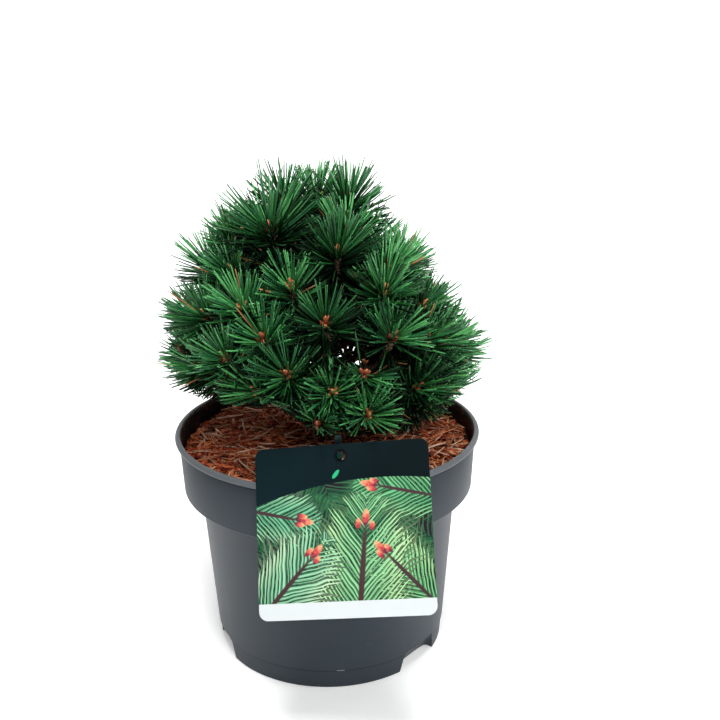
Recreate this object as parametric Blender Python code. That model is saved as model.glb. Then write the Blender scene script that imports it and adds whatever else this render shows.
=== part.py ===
# A dwarf mountain pine in a round nursery pot, with the label card that stands in the pot.
# Metres, +Z up. The origin is the centre of the pot's underside, and the front faces -Y.
import math

import bpy
import numpy as np
from mathutils import Matrix, Vector

# The gap that touching pieces keep
FIT_GAP = 0.0003

# The pot: a thin moulded shell with a deep collar, a rolled rim and three foot recesses
POT_HEIGHT = 0.1712
POT_WALL = 0.0016
RIM_RADIUS = 0.1137
RIM_DROP = 0.0045
COLLAR_TOP_RADIUS = 0.1110
COLLAR_FOOT_RADIUS = 0.1089
COLLAR_FOOT_Z = 0.1300
STEP_DROP = 0.0035
BODY_TOP_RADIUS = 0.0967
BODY_FOOT_RADIUS = 0.0886
FOOT_BAND_Z = 0.0150
FOOT_BAND_STEP = 0.0007
FOOT_RADIUS = 0.0868
FOOT_RING_INNER = 0.0790
FLOOR_LIFT = 0.0026
FLOOR_THICKNESS = 0.0024
BOSS_RADIUS = 0.0180
EDGE_BEVEL = 0.0010
POT_SEGMENTS = 48
RECESS_AZIMUTHS = (51, 171, 291)
RECESS_HEIGHT = 0.0170
RECESS_HALF_WIDTH = 0.0210
RECESS_TOP_HALF_WIDTH = 0.0165
RECESS_FOOT_RADIUS = 0.0765
RECESS_TOP_RADIUS = 0.0858
DRAIN_RADIUS = 0.0050
DRAIN_CIRCLE = 0.0520
DRAIN_COUNT = 6

# The potting mix: it stands a little lower than the rim, with a flat where the trunk stands
FILL_EDGE_Z = 0.1560
FILL_CENTRE_Z = 0.1625
FILL_SEGMENTS = 32
FILL_RINGS = 5
FILL_BUMP = 0.0014
FILL_FLAT_RADIUS = 0.0180
FILL_PLUG_RADIUS = 0.0660
FILL_SHELF_Z = 0.0265
FILL_SIDE_GAP = 0.0008
FILL_SEED = 11

# The label card, which leans on the rim, and the stake that carries it on a button
CARD_WIDTH = 0.1159
CARD_HEIGHT = 0.1108
CARD_THICKNESS = 0.0006
CARD_CORNER = 0.0060
CARD_CENTRE = Vector((0.0134, -0.1318, 0.1515))
CARD_YAW = 13.9
CARD_LEAN = 28.7
CARD_ROLL = 8.9
HOLE_RADIUS = 0.0032
HOLE_DROP = 0.0076
STAKE_WIDTH = 0.0044
STAKE_THICKNESS = 0.0018
STAKE_TOP_Z = 0.2045
STAKE_FOOT_Z = 0.1150
STAKE_TOP_Y = -0.1012
STAKE_LEAN = 8.0
STAKE_SHIFT = -0.0016
BUTTON_SHANK_RADIUS = 0.0014
BUTTON_RADIUS = 0.0024
BUTTON_HEAD = 0.0010

# The trunk: a short leaning stem from its root flare on the mix up to the top mass
FORK = Vector((0.0, 0.0, 0.1950))
TRUNK_FLARE_RADIUS = 0.0135
TRUNK_RADIUS = 0.0088
TRUNK_FLARE_RISE = 0.0080
TRUNK_SIDES = 10
TRUNK_RINGS = 8

# The boughs: one for each mass, leaving the trunk at a height that goes with its elevation
BOUGH_SHARE = 0.46
BOUGH_FOOT_RADIUS = 0.0032
BOUGH_TIP_RADIUS = 0.0024
BOUGH_SIDES = 5
BOUGH_RINGS = 6
BOUGH_LOWEST_Z = 0.1700
BOUGH_HIGHEST_Z = 0.2420
BOUGH_SHIFT_STEP = 0.0015
BOUGH_SHIFTS = 12
BOUGH_GAP = 0.0012

# The masses of needles: the azimuth and elevation in degrees of the leading shoot's bud, seen from
# the fork, and how far away it is. Azimuth 0 is the front and 90 the right
MASSES = {
    "top": (-114, 78, 0.153),
    "crest_left": (-57, 72, 0.143),
    "crest_front": (12, 67, 0.136),
    "crest_right": (55, 63, 0.124),
    "crest_back": (150, 60, 0.128),
    "crest_back_left": (-150, 54, 0.136),
    "left_shoulder": (-92, 62, 0.143),
    "left_side": (-65, 40, 0.121),
    "left_front": (-26, 39, 0.117),
    "front": (2, 45, 0.120),
    "right_front": (34, 39, 0.114),
    "right_shoulder": (68, 46, 0.112),
    "left_low": (-61, 23, 0.110),
    "front_low_left": (-28, 21, 0.106),
    "front_low": (4, 22, 0.103),
    "right_low": (44, 19, 0.102),
    "right_side": (84, 22, 0.106),
    "right_back": (112, 40, 0.110),
    "back_right": (128, 18, 0.110),
    "back": (168, 32, 0.112),
    "back_left": (-150, 20, 0.110),
    "left_back": (-97, 50, 0.133),
}

# Side shoots that show on the crest and in the front, placed the same way
GIVEN_SHOOTS = (
    (130, 81, 0.150),
    (-172, 75, 0.153),
    (106, 61, 0.119),
    (90, 39, 0.101),
    (88, 7, 0.094),
    (-92, 15, 0.102),
    (-88, 34, 0.119),
    (35, 53, 0.126),
    (-40, 47, 0.125),
    (-2, 10, 0.098),
    (19, 12, 0.098),
    (51, 8, 0.096),
)

# All the other side shoots go where the gaps in the crown are widest, down to its skirt
SHOOTS = 66
SHOOT_SEED = 5
SPIRAL_COUNT = 900
REACH_BLEND = 13.0
REACH_JITTER = 0.04
SHOOT_LIFT = 0.36
SKIRT_ELEVATION = 12.0
SKIRT_TILT = 8.0
SKIRT_HIGH_AZIMUTH = -50.0

# A shoot: a bare twig, a slim core that needles stand out of, and a bud
TWIG_RADIUS = 0.0015
TWIG_ROOT_RADIUS = 0.0013
TWIG_ROOT_SHARES = (0.20, 0.08, 0.32, 0.45)
CORE_LENGTH = 0.0330
CORE_RADIUS = 0.0026
CORE_SIDES = 5
CORE_BANDS = 5
BUD_LENGTH = 0.0065
NEEDLE_LENGTH = 0.0330
NEEDLE_JITTER = 0.10
NEEDLE_FOOT_ANGLE = 86.0
NEEDLE_TIP_ANGLE = 24.0
NEEDLE_SHARES = (1.0, 0.82, 0.66, 0.5)
NEEDLE_FOOT = 0.0030
NEEDLE_GAP = 0.0006
INTERLEAVE = 0.0120
MOST_LINES = 6000
GROUND_GAP = 0.0015


def direction(azimuth, elevation=0.0):
    a, e = math.radians(azimuth), math.radians(elevation)
    return Vector((math.sin(a) * math.cos(e), -math.cos(a) * math.cos(e), math.sin(e)))


def principled(name, colour, roughness, metallic=0.0):
    made = bpy.data.materials.new(name)
    made.use_nodes = True
    shader = made.node_tree.nodes["Principled BSDF"]
    shader.inputs["Base Color"].default_value = (*colour, 1.0)
    shader.inputs["Roughness"].default_value = roughness
    shader.inputs["Metallic"].default_value = metallic
    made.diffuse_color = (*colour, 1.0)
    return made


def add_object(name, shape, material=None):
    vertices, faces = shape
    mesh = bpy.data.meshes.new(name)
    mesh.from_pydata([tuple(v) for v in vertices], [], [tuple(f) for f in faces])
    mesh.update()
    made = bpy.data.objects.new(name, mesh)
    bpy.context.scene.collection.objects.link(made)
    if material:
        mesh.materials.append(material)
    return made


def add_guide(name, shape):
    made = add_object(name, shape)
    made.hide_render = True
    made.display_type = "WIRE"
    return made


def shade_round(made, angle=35.0):
    made.data.shade_smooth()
    made.data.set_sharp_from_angle(angle=math.radians(angle))


def add_boolean(made, other, operation="DIFFERENCE"):
    modifier = made.modifiers.new(f"{operation.title()} {other.name}", "BOOLEAN")
    modifier.operation = operation
    modifier.object = other


# A closed solid turned about Z from a profile of radius and z that starts and ends on the axis
def turned(profile, segments):
    vertices, rows = [], []
    for radius, z in profile:
        if radius == 0.0:
            rows.append([len(vertices)] * segments)
            vertices.append((0.0, 0.0, z))
            continue
        rows.append(list(range(len(vertices), len(vertices) + segments)))
        for k in range(segments):
            a = 2 * math.pi * k / segments
            vertices.append((radius * math.cos(a), radius * math.sin(a), z))
    faces = []
    for low, high in zip(rows, rows[1:]):
        for k in range(segments):
            n = (k + 1) % segments
            corners = (low[k], low[n], high[n], high[k])
            face = [c for i, c in enumerate(corners) if c not in corners[:i]]
            faces.append(face)
    return vertices, faces


# A prism over a flat outline that runs anticlockwise, from one height to another
def prism(outline, low, high):
    n = len(outline)
    vertices = [(x, y, low) for x, y in outline] + [(x, y, high) for x, y in outline]
    sides = [(k, (k + 1) % n, (k + 1) % n + n, k + n) for k in range(n)]
    return vertices, [tuple(range(n))[::-1], tuple(range(n, 2 * n))] + sides


def rectangle(width, depth):
    x, y = width / 2, depth / 2
    return [(-x, -y), (x, -y), (x, y), (-x, y)]


def rounded_rectangle(width, height, radius, steps=5):
    outline = []
    for quarter, (sx, sy) in enumerate(((1, 1), (-1, 1), (-1, -1), (1, -1))):
        for k in range(steps + 1):
            a = math.radians(90 * quarter + 90 * k / steps)
            x = sx * (width / 2 - radius) + radius * math.cos(a)
            y = sy * (height / 2 - radius) + radius * math.sin(a)
            outline.append((x, y))
    return outline


def circle(radius, count):
    angles = [2 * math.pi * k / count for k in range(count)]
    return [(radius * math.cos(a), radius * math.sin(a)) for a in angles]


# Sideways directions along a path, turned as little as they can be from one point to the next,
# where the ends may be squared to directions of their own
def path_frames(points, ends=(None, None)):
    rows = []
    side = None
    for k in range(len(points)):
        ahead, behind = points[min(k + 1, len(points) - 1)], points[max(k - 1, 0)]
        tangent = (ahead - behind).normalized()
        if k == 0 and ends[0]:
            tangent = ends[0]
        elif k == len(points) - 1 and ends[1]:
            tangent = ends[1]
        side = tangent.orthogonal() if side is None else side - tangent * side.dot(tangent)
        side.normalize()
        rows.append((side.copy(), tangent.cross(side), tangent))
    return rows


def bezier(p0, p1, p2, p3, count):
    points = []
    for k in range(count):
        t = k / (count - 1)
        s = 1 - t
        points.append(p0 * s**3 + p1 * 3 * s * s * t + p2 * 3 * s * t * t + p3 * t**3)
    return points


def tapered(first, last, count):
    return [first + (last - first) * k / (count - 1) for k in range(count)]


# Rings of points round a path, and the closed tube's faces between them
def tube_rings(points, radii, sides, ends=(None, None)):
    vertices = []
    for point, radius, (side, other, _) in zip(points, radii, path_frames(points, ends)):
        for k in range(sides):
            a = 2 * math.pi * k / sides
            vertices.append(point + (side * math.cos(a) + other * math.sin(a)) * radius)
    return vertices


def tube(points, radii, sides, ends=(None, None)):
    vertices = tube_rings(points, radii, sides, ends)
    last = (len(points) - 1) * sides
    faces = [tuple(range(sides))[::-1], tuple(range(last, last + sides))]
    for row in range(0, last, sides):
        for k in range(sides):
            n = (k + 1) % sides
            faces.append((row + k, row + n, row + sides + n, row + sides + k))
    return vertices, faces


# The pot's outer profile, from the middle of the underside out, up and back to the axis
def pot_outside():
    rim_low = POT_HEIGHT - RIM_DROP
    return [
        (0.0, 0.0),
        (BOSS_RADIUS, 0.0),
        (BOSS_RADIUS + EDGE_BEVEL, FLOOR_LIFT),
        (FOOT_RING_INNER - EDGE_BEVEL, FLOOR_LIFT),
        (FOOT_RING_INNER, 0.0),
        (FOOT_RADIUS - EDGE_BEVEL, 0.0),
        (FOOT_RADIUS, EDGE_BEVEL),
        (BODY_FOOT_RADIUS - FOOT_BAND_STEP, FOOT_BAND_Z - FIT_GAP),
        (BODY_FOOT_RADIUS, FOOT_BAND_Z + FIT_GAP),
        (BODY_TOP_RADIUS, COLLAR_FOOT_Z - STEP_DROP),
        (COLLAR_FOOT_RADIUS - 2.5 * EDGE_BEVEL, COLLAR_FOOT_Z - 0.7 * STEP_DROP),
        (COLLAR_FOOT_RADIUS, COLLAR_FOOT_Z + EDGE_BEVEL),
        (COLLAR_TOP_RADIUS, rim_low),
        (RIM_RADIUS, rim_low + EDGE_BEVEL),
        (RIM_RADIUS, POT_HEIGHT - EDGE_BEVEL),
        (RIM_RADIUS - EDGE_BEVEL, POT_HEIGHT),
        (0.0, POT_HEIGHT),
    ]


# The hollow inside the shell, running on above the rim so that it cuts the pot open
def pot_inside():
    floor = FLOOR_LIFT + FLOOR_THICKNESS
    above = POT_HEIGHT + 2 * RIM_DROP
    return [
        (0.0, floor),
        (FOOT_RADIUS - POT_WALL, floor),
        (BODY_TOP_RADIUS - POT_WALL, COLLAR_FOOT_Z - STEP_DROP + POT_WALL),
        (COLLAR_FOOT_RADIUS - 2 * POT_WALL, COLLAR_FOOT_Z + POT_WALL),
        (COLLAR_TOP_RADIUS - POT_WALL, POT_HEIGHT - RIM_DROP),
        (COLLAR_TOP_RADIUS - POT_WALL, above),
        (0.0, above),
    ]


# One foot recess: a block whose inner face slopes outwards as it rises from just below the foot
def recess_block(azimuth, grow):
    out, side = direction(azimuth), direction(azimuth + 90)
    beyond = FOOT_RADIUS + RECESS_HALF_WIDTH
    vertices = []
    for inner, half, z in (
        (RECESS_FOOT_RADIUS - grow, RECESS_HALF_WIDTH + grow, -EDGE_BEVEL - grow),
        (RECESS_TOP_RADIUS - grow, RECESS_TOP_HALF_WIDTH + grow, RECESS_HEIGHT + grow),
    ):
        for reach, sign in ((inner, -1), (beyond, -1), (beyond, 1), (inner, 1)):
            vertices.append(out * reach + side * half * sign + Vector((0, 0, z)))
    faces = [(3, 2, 1, 0), (4, 5, 6, 7)] + [(k, (k + 1) % 4, (k + 1) % 4 + 4, k + 4) for k in range(4)]
    return vertices, faces


def add_pot(material):
    pot = add_object("pot", turned(pot_outside(), POT_SEGMENTS), material)
    hollow = add_guide("pot_hollow", turned(pot_inside(), POT_SEGMENTS))
    for number, azimuth in enumerate(RECESS_AZIMUTHS):
        add_boolean(pot, add_guide(f"recess_{number}", recess_block(azimuth, 0.0)))
        add_boolean(hollow, add_guide(f"recess_wall_{number}", recess_block(azimuth, POT_WALL)))
    add_boolean(pot, hollow)
    for number in range(DRAIN_COUNT):
        drain = add_guide(f"drain_{number}", prism(circle(DRAIN_RADIUS, 12), -0.01, 0.01))
        drain.location = direction(360 / DRAIN_COUNT * number + 180 / POT_SEGMENTS) * DRAIN_CIRCLE
        add_boolean(pot, drain)
    shade_round(pot)


# The surface of the mix: a low mound
def fill_height(radius):
    edge = COLLAR_TOP_RADIUS - POT_WALL
    return FILL_EDGE_Z + (FILL_CENTRE_Z - FILL_EDGE_Z) * (1 - (radius / edge) ** 2)


def add_fill(material):
    rng = np.random.default_rng(FILL_SEED)
    floor = FLOOR_LIFT + FLOOR_THICKNESS + FIT_GAP
    inset = POT_WALL + FILL_SIDE_GAP
    step_z = COLLAR_FOOT_Z + POT_WALL
    edge = COLLAR_TOP_RADIUS - inset - EDGE_BEVEL
    profile = [
        (0.0, floor),
        (FILL_PLUG_RADIUS, floor),
        (FILL_PLUG_RADIUS, FILL_SHELF_Z),
        (BODY_FOOT_RADIUS - inset, FILL_SHELF_Z),
        (BODY_TOP_RADIUS - inset - FILL_SIDE_GAP, step_z - STEP_DROP),
        (COLLAR_FOOT_RADIUS - inset - 3 * EDGE_BEVEL, step_z + EDGE_BEVEL),
        (edge, FILL_EDGE_Z),
    ]
    for ring in range(1, FILL_RINGS + 1):
        radius = edge + (FILL_FLAT_RADIUS - edge) * ring / FILL_RINGS
        profile.append((radius, fill_height(max(radius, FILL_FLAT_RADIUS))))
    profile.append((0.0, fill_height(FILL_FLAT_RADIUS)))
    vertices, faces = turned(profile, FILL_SEGMENTS)
    bumped = []
    for x, y, z in vertices:
        loose = z > FILL_EDGE_Z and math.hypot(x, y) > FILL_FLAT_RADIUS + FIT_GAP
        bumped.append((x, y, z + (rng.uniform(-1, 1) * FILL_BUMP if loose else 0.0)))
    fill = add_object("potting_mix", (bumped, faces), material)
    add_boolean(fill, add_guide("stake_slot", stake_strip(FIT_GAP)))


# The card's own axes: X across it, Y up it and Z out of its printed face
def card_matrix():
    yaw, lean, roll = (math.radians(a) for a in (CARD_YAW, CARD_LEAN, CARD_ROLL))
    across = Vector((math.cos(yaw), -math.sin(yaw), 0.0))
    inwards = Vector((math.sin(yaw), math.cos(yaw), 0.0))
    up = Vector((0, 0, math.cos(lean))) + inwards * math.sin(lean)
    x_axis = across * math.cos(roll) + up * math.sin(roll)
    y_axis = up * math.cos(roll) - across * math.sin(roll)
    turn = Matrix((x_axis, y_axis, x_axis.cross(y_axis))).transposed().to_4x4()
    return Matrix.Translation(CARD_CENTRE) @ turn


def card_hole_point(out_of_face=0.0):
    return card_matrix() @ Vector((0.0, CARD_HEIGHT / 2 - HOLE_DROP, out_of_face))


def add_card(material):
    outline = rounded_rectangle(CARD_WIDTH, CARD_HEIGHT, CARD_CORNER)
    card = add_object("label_card", prism(outline, -CARD_THICKNESS / 2, CARD_THICKNESS / 2), material)
    hole = add_guide("label_hole", prism(circle(HOLE_RADIUS, 16), -0.01, 0.01))
    card.data.transform(card_matrix())
    hole.data.transform(card_matrix() @ Matrix.Translation((0, CARD_HEIGHT / 2 - HOLE_DROP, 0)))
    add_boolean(card, hole)


# The middle of the stake at a height: its top leans out towards the card
def stake_point(z):
    slope = math.tan(math.radians(STAKE_LEAN))
    y = STAKE_TOP_Y + STAKE_THICKNESS / 2 + (STAKE_TOP_Z - z) * slope
    return Vector((card_hole_point().x + STAKE_SHIFT, y, z))


def stake_strip(grow):
    vertices, faces = prism(rectangle(STAKE_WIDTH + 2 * grow, STAKE_THICKNESS + 2 * grow), 0.0, 1.0)
    foot = STAKE_FOOT_Z - grow
    placed = []
    for x, y, share in vertices:
        placed.append(stake_point(foot + (STAKE_TOP_Z - foot) * share) + Vector((x, y, 0)))
    return placed, faces


def add_stake(material):
    stake = add_object("label_stake", stake_strip(0.0), material)
    head_foot = card_hole_point(CARD_THICKNESS / 2 + FIT_GAP)
    out = (head_foot - card_hole_point()).normalized()
    points = [stake_point(head_foot.z), head_foot, head_foot + out * FIT_GAP, head_foot + out * BUTTON_HEAD]
    radii = [BUTTON_SHANK_RADIUS, BUTTON_SHANK_RADIUS, BUTTON_RADIUS, BUTTON_RADIUS * 0.8]
    add_boolean(stake, add_guide("label_button", tube(points, radii, 10)), "UNION")


# The bud of every shoot: the leading ones, the front ones, and then whichever point of a spiral
# over the crown is furthest from all of them
def skirt(azimuth):
    return SKIRT_ELEVATION + SKIRT_TILT * math.cos(math.radians(azimuth - SKIRT_HIGH_AZIMUTH))


def shoot_rows():
    rng = np.random.default_rng(SHOOT_SEED)
    given = [*MASSES.values(), *GIVEN_SHOOTS]
    ways = [direction(a, e) for a, e, _ in given]
    reaches = [reach for _, _, reach in given]
    spiral = []
    for k in range(SPIRAL_COUNT):
        elevation = math.degrees(math.asin(1 - (k + 0.5) / SPIRAL_COUNT))
        azimuth = math.degrees(k * math.pi * (3 - math.sqrt(5))) % 360
        if elevation > skirt(azimuth):
            spiral.append(direction(azimuth, elevation))
    while len(ways) < SHOOTS:
        way = min(spiral, key=lambda d: max(d.dot(w) for w in ways))
        ways.append(way)
        weights = [math.exp(-((way.angle(w) / math.radians(REACH_BLEND)) ** 2)) for w in ways[: len(given)]]
        blend = sum(w * r for w, r in zip(weights, reaches)) / sum(weights)
        reaches.append(blend * (1 + REACH_JITTER * rng.uniform(-1, 1)))
    leaders = ways[: len(MASSES)]
    owners = [max(range(len(MASSES)), key=lambda m: way.dot(leaders[m])) for way in ways]
    return ways, reaches, owners


def bud_axis(way):
    return (way + Vector((0, 0, SHOOT_LIFT))).normalized()


# Where a bough ends and its mass begins, and the way it points there
def bough_tip(way, reach):
    core_foot = FORK + way * reach - bud_axis(way) * (CORE_LENGTH + BUD_LENGTH)
    tip = FORK + way * reach * BOUGH_SHARE
    return tip, (core_foot - tip).normalized()


def trunk_path():
    azimuth, elevation, reach = MASSES["top"]
    tip, along = bough_tip(direction(azimuth, elevation), reach)
    foot = Vector((0.0, 0.0, fill_height(FILL_FLAT_RADIUS) + FIT_GAP))
    third = (tip - foot).length / 3
    return bezier(foot, foot + Vector((0, 0, third)), tip - along * third, tip, TRUNK_RINGS), along


def trunk_radii(points):
    radii = []
    for k, point in enumerate(points):
        share = k / (len(points) - 1)
        flare = math.exp(-((point.z - points[0].z) / TRUNK_FLARE_RISE) ** 2)
        plain = TRUNK_RADIUS + (BOUGH_TIP_RADIUS - TRUNK_RADIUS) * share
        radii.append(plain + (TRUNK_FLARE_RADIUS - TRUNK_RADIUS) * flare)
    return radii


# The trunk's middle and its radius at a height
def trunk_at(z):
    points, _ = trunk_path()
    radii = trunk_radii(points)
    for k in range(len(points) - 1):
        if z <= points[k + 1].z:
            share = (z - points[k].z) / (points[k + 1].z - points[k].z)
            return points[k].lerp(points[k + 1], share), radii[k] + (radii[k + 1] - radii[k]) * share
    return points[-1], radii[-1]


def outside_trunk(point):
    middle, radius = trunk_at(point.z)
    return (point - middle).length > radius


def add_trunk(material):
    points, along = trunk_path()
    radii = trunk_radii(points)
    ends = (Vector((0, 0, 1)), along)
    trunk = add_object("trunk", tube(points, radii, TRUNK_SIDES, ends), material)
    shade_round(trunk, 60)
    return add_guide("trunk_clearance", tube(points, [r + FIT_GAP for r in radii], TRUNK_SIDES, ends))


def bough_path(azimuth, elevation, reach, shift, count):
    tip, along = bough_tip(direction(azimuth, elevation), reach)
    height = BOUGH_LOWEST_Z + (BOUGH_HIGHEST_Z - BOUGH_LOWEST_Z) * elevation / 75 + shift
    foot, _ = trunk_at(height)
    out = (direction(azimuth) + direction(azimuth, elevation) * 0.6).normalized()
    third = (tip - foot).length / 3
    return bezier(foot, foot + out * third, tip - along * third, tip, count), along


# Each bough leaves the trunk at the height nearest its own where it is clear of the boughs before it
def bough_paths():
    placed, taken = {}, []
    apart = 2 * BOUGH_FOOT_RADIUS + BOUGH_GAP
    for name, row in MASSES.items():
        if name == "top":
            continue
        best = -1.0
        for number in range(2 * BOUGH_SHIFTS + 1):
            shift = BOUGH_SHIFT_STEP * ((number + 1) // 2) * (-1) ** number
            points, _ = bough_path(*row, shift, 5 * BOUGH_RINGS)
            outside = [p for p in points if outside_trunk(p)]
            gap = min(((p - q).length for p in outside for q in taken), default=apart)
            if gap > best:
                best, chosen, kept = gap, shift, outside
            if best >= apart:
                break
        taken += kept
        placed[name] = bough_path(*row, chosen, BOUGH_RINGS)
    return placed


def add_boughs(material, clearance):
    for name, (points, along) in bough_paths().items():
        radii = tapered(BOUGH_FOOT_RADIUS, BOUGH_TIP_RADIUS, len(points))
        bough = add_object(f"bough_{name}", tube(points, radii, BOUGH_SIDES, (None, along)), material)
        add_boolean(bough, clearance)
        shade_round(bough, 60)


# The nearest approach of one line to many: the gaps, and how far along each they are
def line_gaps(start, end, starts, ends):
    u, v, w = end - start, ends - starts, start - starts
    a, b, c = u @ u, v @ u, np.sum(v * v, axis=1)
    d, e = w @ u, np.sum(v * w, axis=1)
    s = np.clip((b * e - c * d) / np.maximum(a * c - b * b, 1e-12), 0, 1)
    t = np.clip((b * s + e) / c, 0, 1)
    s = np.clip((b * t - d) / a, 0, 1)
    return np.linalg.norm(w + s[:, None] * u - t[:, None] * v, axis=1), s, t


# Every twig, core and needle so far, as lines with a radius at each end
class Lines:
    def __init__(self):
        self.starts, self.ends = np.zeros((MOST_LINES, 3)), np.zeros((MOST_LINES, 3))
        self.feet, self.tips = np.zeros(MOST_LINES), np.zeros(MOST_LINES)
        self.shoots = np.full(MOST_LINES, -1)
        self.count = 0

    def add(self, start, end, foot, tip, shoot):
        n = self.count
        self.starts[n], self.ends[n] = start, end
        self.feet[n], self.tips[n], self.shoots[n] = foot, tip, shoot
        self.count += 1

    def miss(self, start, end, shoot):
        others = np.flatnonzero(self.shoots[: self.count] != shoot)
        gaps, s, t = line_gaps(start, end, self.starts[others], self.ends[others])
        needed = NEEDLE_FOOT * (1 - s) + self.feet[others] * (1 - t) + self.tips[others] * t
        return bool(np.all(gaps > needed + NEEDLE_GAP))


# How deep points are in a mass's own space: everything nearer, as seen from the fork, to one of
# its shoots than to any other mass's
def depth_in_space(points, mass, ways, owners):
    own = owners == mass
    seen = (points - np.array(FORK)) @ ways.T
    depths = []
    for row in seen:
        best = np.argmax(np.where(own, row, -1.0))
        steps = np.linalg.norm(ways[best] - ways[~own], axis=1)
        depths.append(np.min((row[best] - row[~own]) / steps))
    return np.array(depths)


# Whether points keep off the mix, the pot's rim, the card and the stake
def clear_of_pot(points, margins, to_card):
    margins = np.asarray(margins) + GROUND_GAP
    radius, z = np.hypot(points[:, 0], points[:, 1]), points[:, 2]
    over_mix = z - margins > FILL_CENTRE_Z + FILL_BUMP
    off_rim = (radius + margins < COLLAR_TOP_RADIUS - POT_WALL) | (z - margins > POT_HEIGHT)
    on_card = points @ to_card[:3, :3].T + to_card[:3, 3]
    off_card = np.abs(on_card[:, 0]) - margins > CARD_WIDTH / 2
    off_card |= on_card[:, 1] - margins > CARD_HEIGHT / 2
    off_card |= np.abs(on_card[:, 2]) - margins > BUTTON_HEAD
    off_stake = np.abs(points[:, 0] - stake_point(STAKE_TOP_Z).x) - margins > STAKE_WIDTH / 2
    off_stake |= points[:, 1] - margins > stake_point(FILL_EDGE_Z).y + STAKE_THICKNESS
    off_stake |= z - margins > STAKE_TOP_Z
    return bool(np.all(over_mix & off_rim & off_card & off_stake))


# A twig that leaves the mass's stem and bends into its shoot's core
def shoot_path(root, lead, way, reach):
    bud = FORK + way * reach
    axis = bud_axis(way)
    core_foot = bud - axis * (CORE_LENGTH + BUD_LENGTH)
    third = (core_foot - root).length / 3
    twig = bezier(root, root + lead * third, core_foot - axis * third, core_foot, 4)[:-1]
    core = [core_foot + axis * CORE_LENGTH * k / CORE_BANDS for k in range(CORE_BANDS + 1)]
    return twig, core, bud


def core_radii():
    return [CORE_RADIUS * (0.75 + 0.35 * math.sin(math.pi * k / CORE_BANDS)) for k in range(CORE_BANDS + 1)]


# A shoot's tube without its needles, and the core's triangles that a needle may stand on
def shoot_shape(twig, core, bud, root_radius, root_way):
    points = twig + core
    radii = tapered(root_radius, TWIG_RADIUS, len(twig)) + core_radii()
    vertices = tube_rings(points, radii, CORE_SIDES, (root_way, None)) + [bud]
    last = (len(points) - 1) * CORE_SIDES
    first_core = len(twig) * CORE_SIDES
    faces, seats = [tuple(range(CORE_SIDES))[::-1]], []
    for row in range(0, last, CORE_SIDES):
        for k in range(CORE_SIDES):
            n = (k + 1) % CORE_SIDES
            low, low_n, high_n, high = row + k, row + n, row + CORE_SIDES + n, row + CORE_SIDES + k
            target = seats if row >= first_core else faces
            target.extend([(low, low_n, high_n), (low, high_n, high)])
    for k in range(CORE_SIDES):
        faces.append((last + k, last + (k + 1) % CORE_SIDES, last + CORE_SIDES))
    return vertices, faces, seats


# The needle that stands on one triangle of a core, from its foot to its tip
def needle_line(corners, core, length):
    axis = (core[-1] - core[0]).normalized()
    centre = sum(corners, Vector()) / 3
    along = (centre - core[0]).dot(axis)
    outward = (centre - core[0] - axis * along).normalized()
    angle = math.radians(NEEDLE_FOOT_ANGLE + (NEEDLE_TIP_ANGLE - NEEDLE_FOOT_ANGLE) * along / CORE_LENGTH)
    return centre, centre + (axis * math.cos(angle) + outward * math.sin(angle)) * length


# The shoots of one mass: the leader on the stem first, then each side shoot whose twig fits
def mass_shoots(mass, ways, reaches, owners):
    tip, along = bough_tip(ways[mass], reaches[mass])
    stem, core, bud = shoot_path(tip + along * FIT_GAP, along, ways[mass], reaches[mass])
    shoots = [(stem, core, bud, BOUGH_TIP_RADIUS, along)]
    plain_ways, to_card = np.array(ways), np.array(card_matrix().inverted())
    for index, owner in enumerate(owners):
        if owner != mass or index == mass:
            continue
        for share in TWIG_ROOT_SHARES:
            root, lead = stem[0].lerp(core[0], share), (along + ways[index]).normalized()
            twig, side_core, side_bud = shoot_path(root, lead, ways[index], reaches[index])
            line = np.array(twig[1:] + side_core + [side_bud])
            depths = depth_in_space(line, mass, plain_ways, owners)
            if np.min(depths) > CORE_RADIUS and clear_of_pot(line, [CORE_RADIUS] * len(line), to_card):
                shoots.append((twig, side_core, side_bud, TWIG_ROOT_RADIUS, lead))
                break
    return shoots


# The needles, one on each shoot in turn, so that no shoot takes its neighbours' room
def grow_needles(shoots, shapes, masses, ways, owners):
    rng = np.random.default_rng(SHOOT_SEED)
    to_card = np.array(card_matrix().inverted())
    lines = Lines()
    for index, (twig, core, bud, _, _) in enumerate(shoots):
        points = twig + core + [bud]
        for start, end in zip(points, points[1:]):
            lines.add(start, end, CORE_RADIUS, CORE_RADIUS, index)
    fractions = np.array([0.25, 0.5, 0.75, 1.0])
    for number in range(2 * CORE_SIDES * CORE_BANDS):
        for index, (_, core, _, _, _) in enumerate(shoots):
            vertices, faces, seats = shapes[index]
            seat = seats[number]
            full = NEEDLE_LENGTH * (1 + NEEDLE_JITTER * rng.uniform(-1, 1))
            for share in NEEDLE_SHARES:
                foot, tip = needle_line([vertices[i] for i in seat], core, full * share)
                start, end = np.array(foot), np.array(tip)
                samples = start + fractions[:, None] * (end - start)
                depths = depth_in_space(samples, masses[index], ways, owners)
                kept = np.all(depths > NEEDLE_FOOT * (1 - fractions) - INTERLEAVE * fractions)
                kept = kept and clear_of_pot(samples, NEEDLE_FOOT * (1 - fractions), to_card)
                if kept and lines.miss(start, end, index):
                    lines.add(start, end, NEEDLE_FOOT, 0.0, index)
                    vertices.append(tip)
                    faces.extend([(seat[k], seat[(k + 1) % 3], len(vertices) - 1) for k in range(3)])
                    break
            else:
                faces.append(seat)


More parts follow.
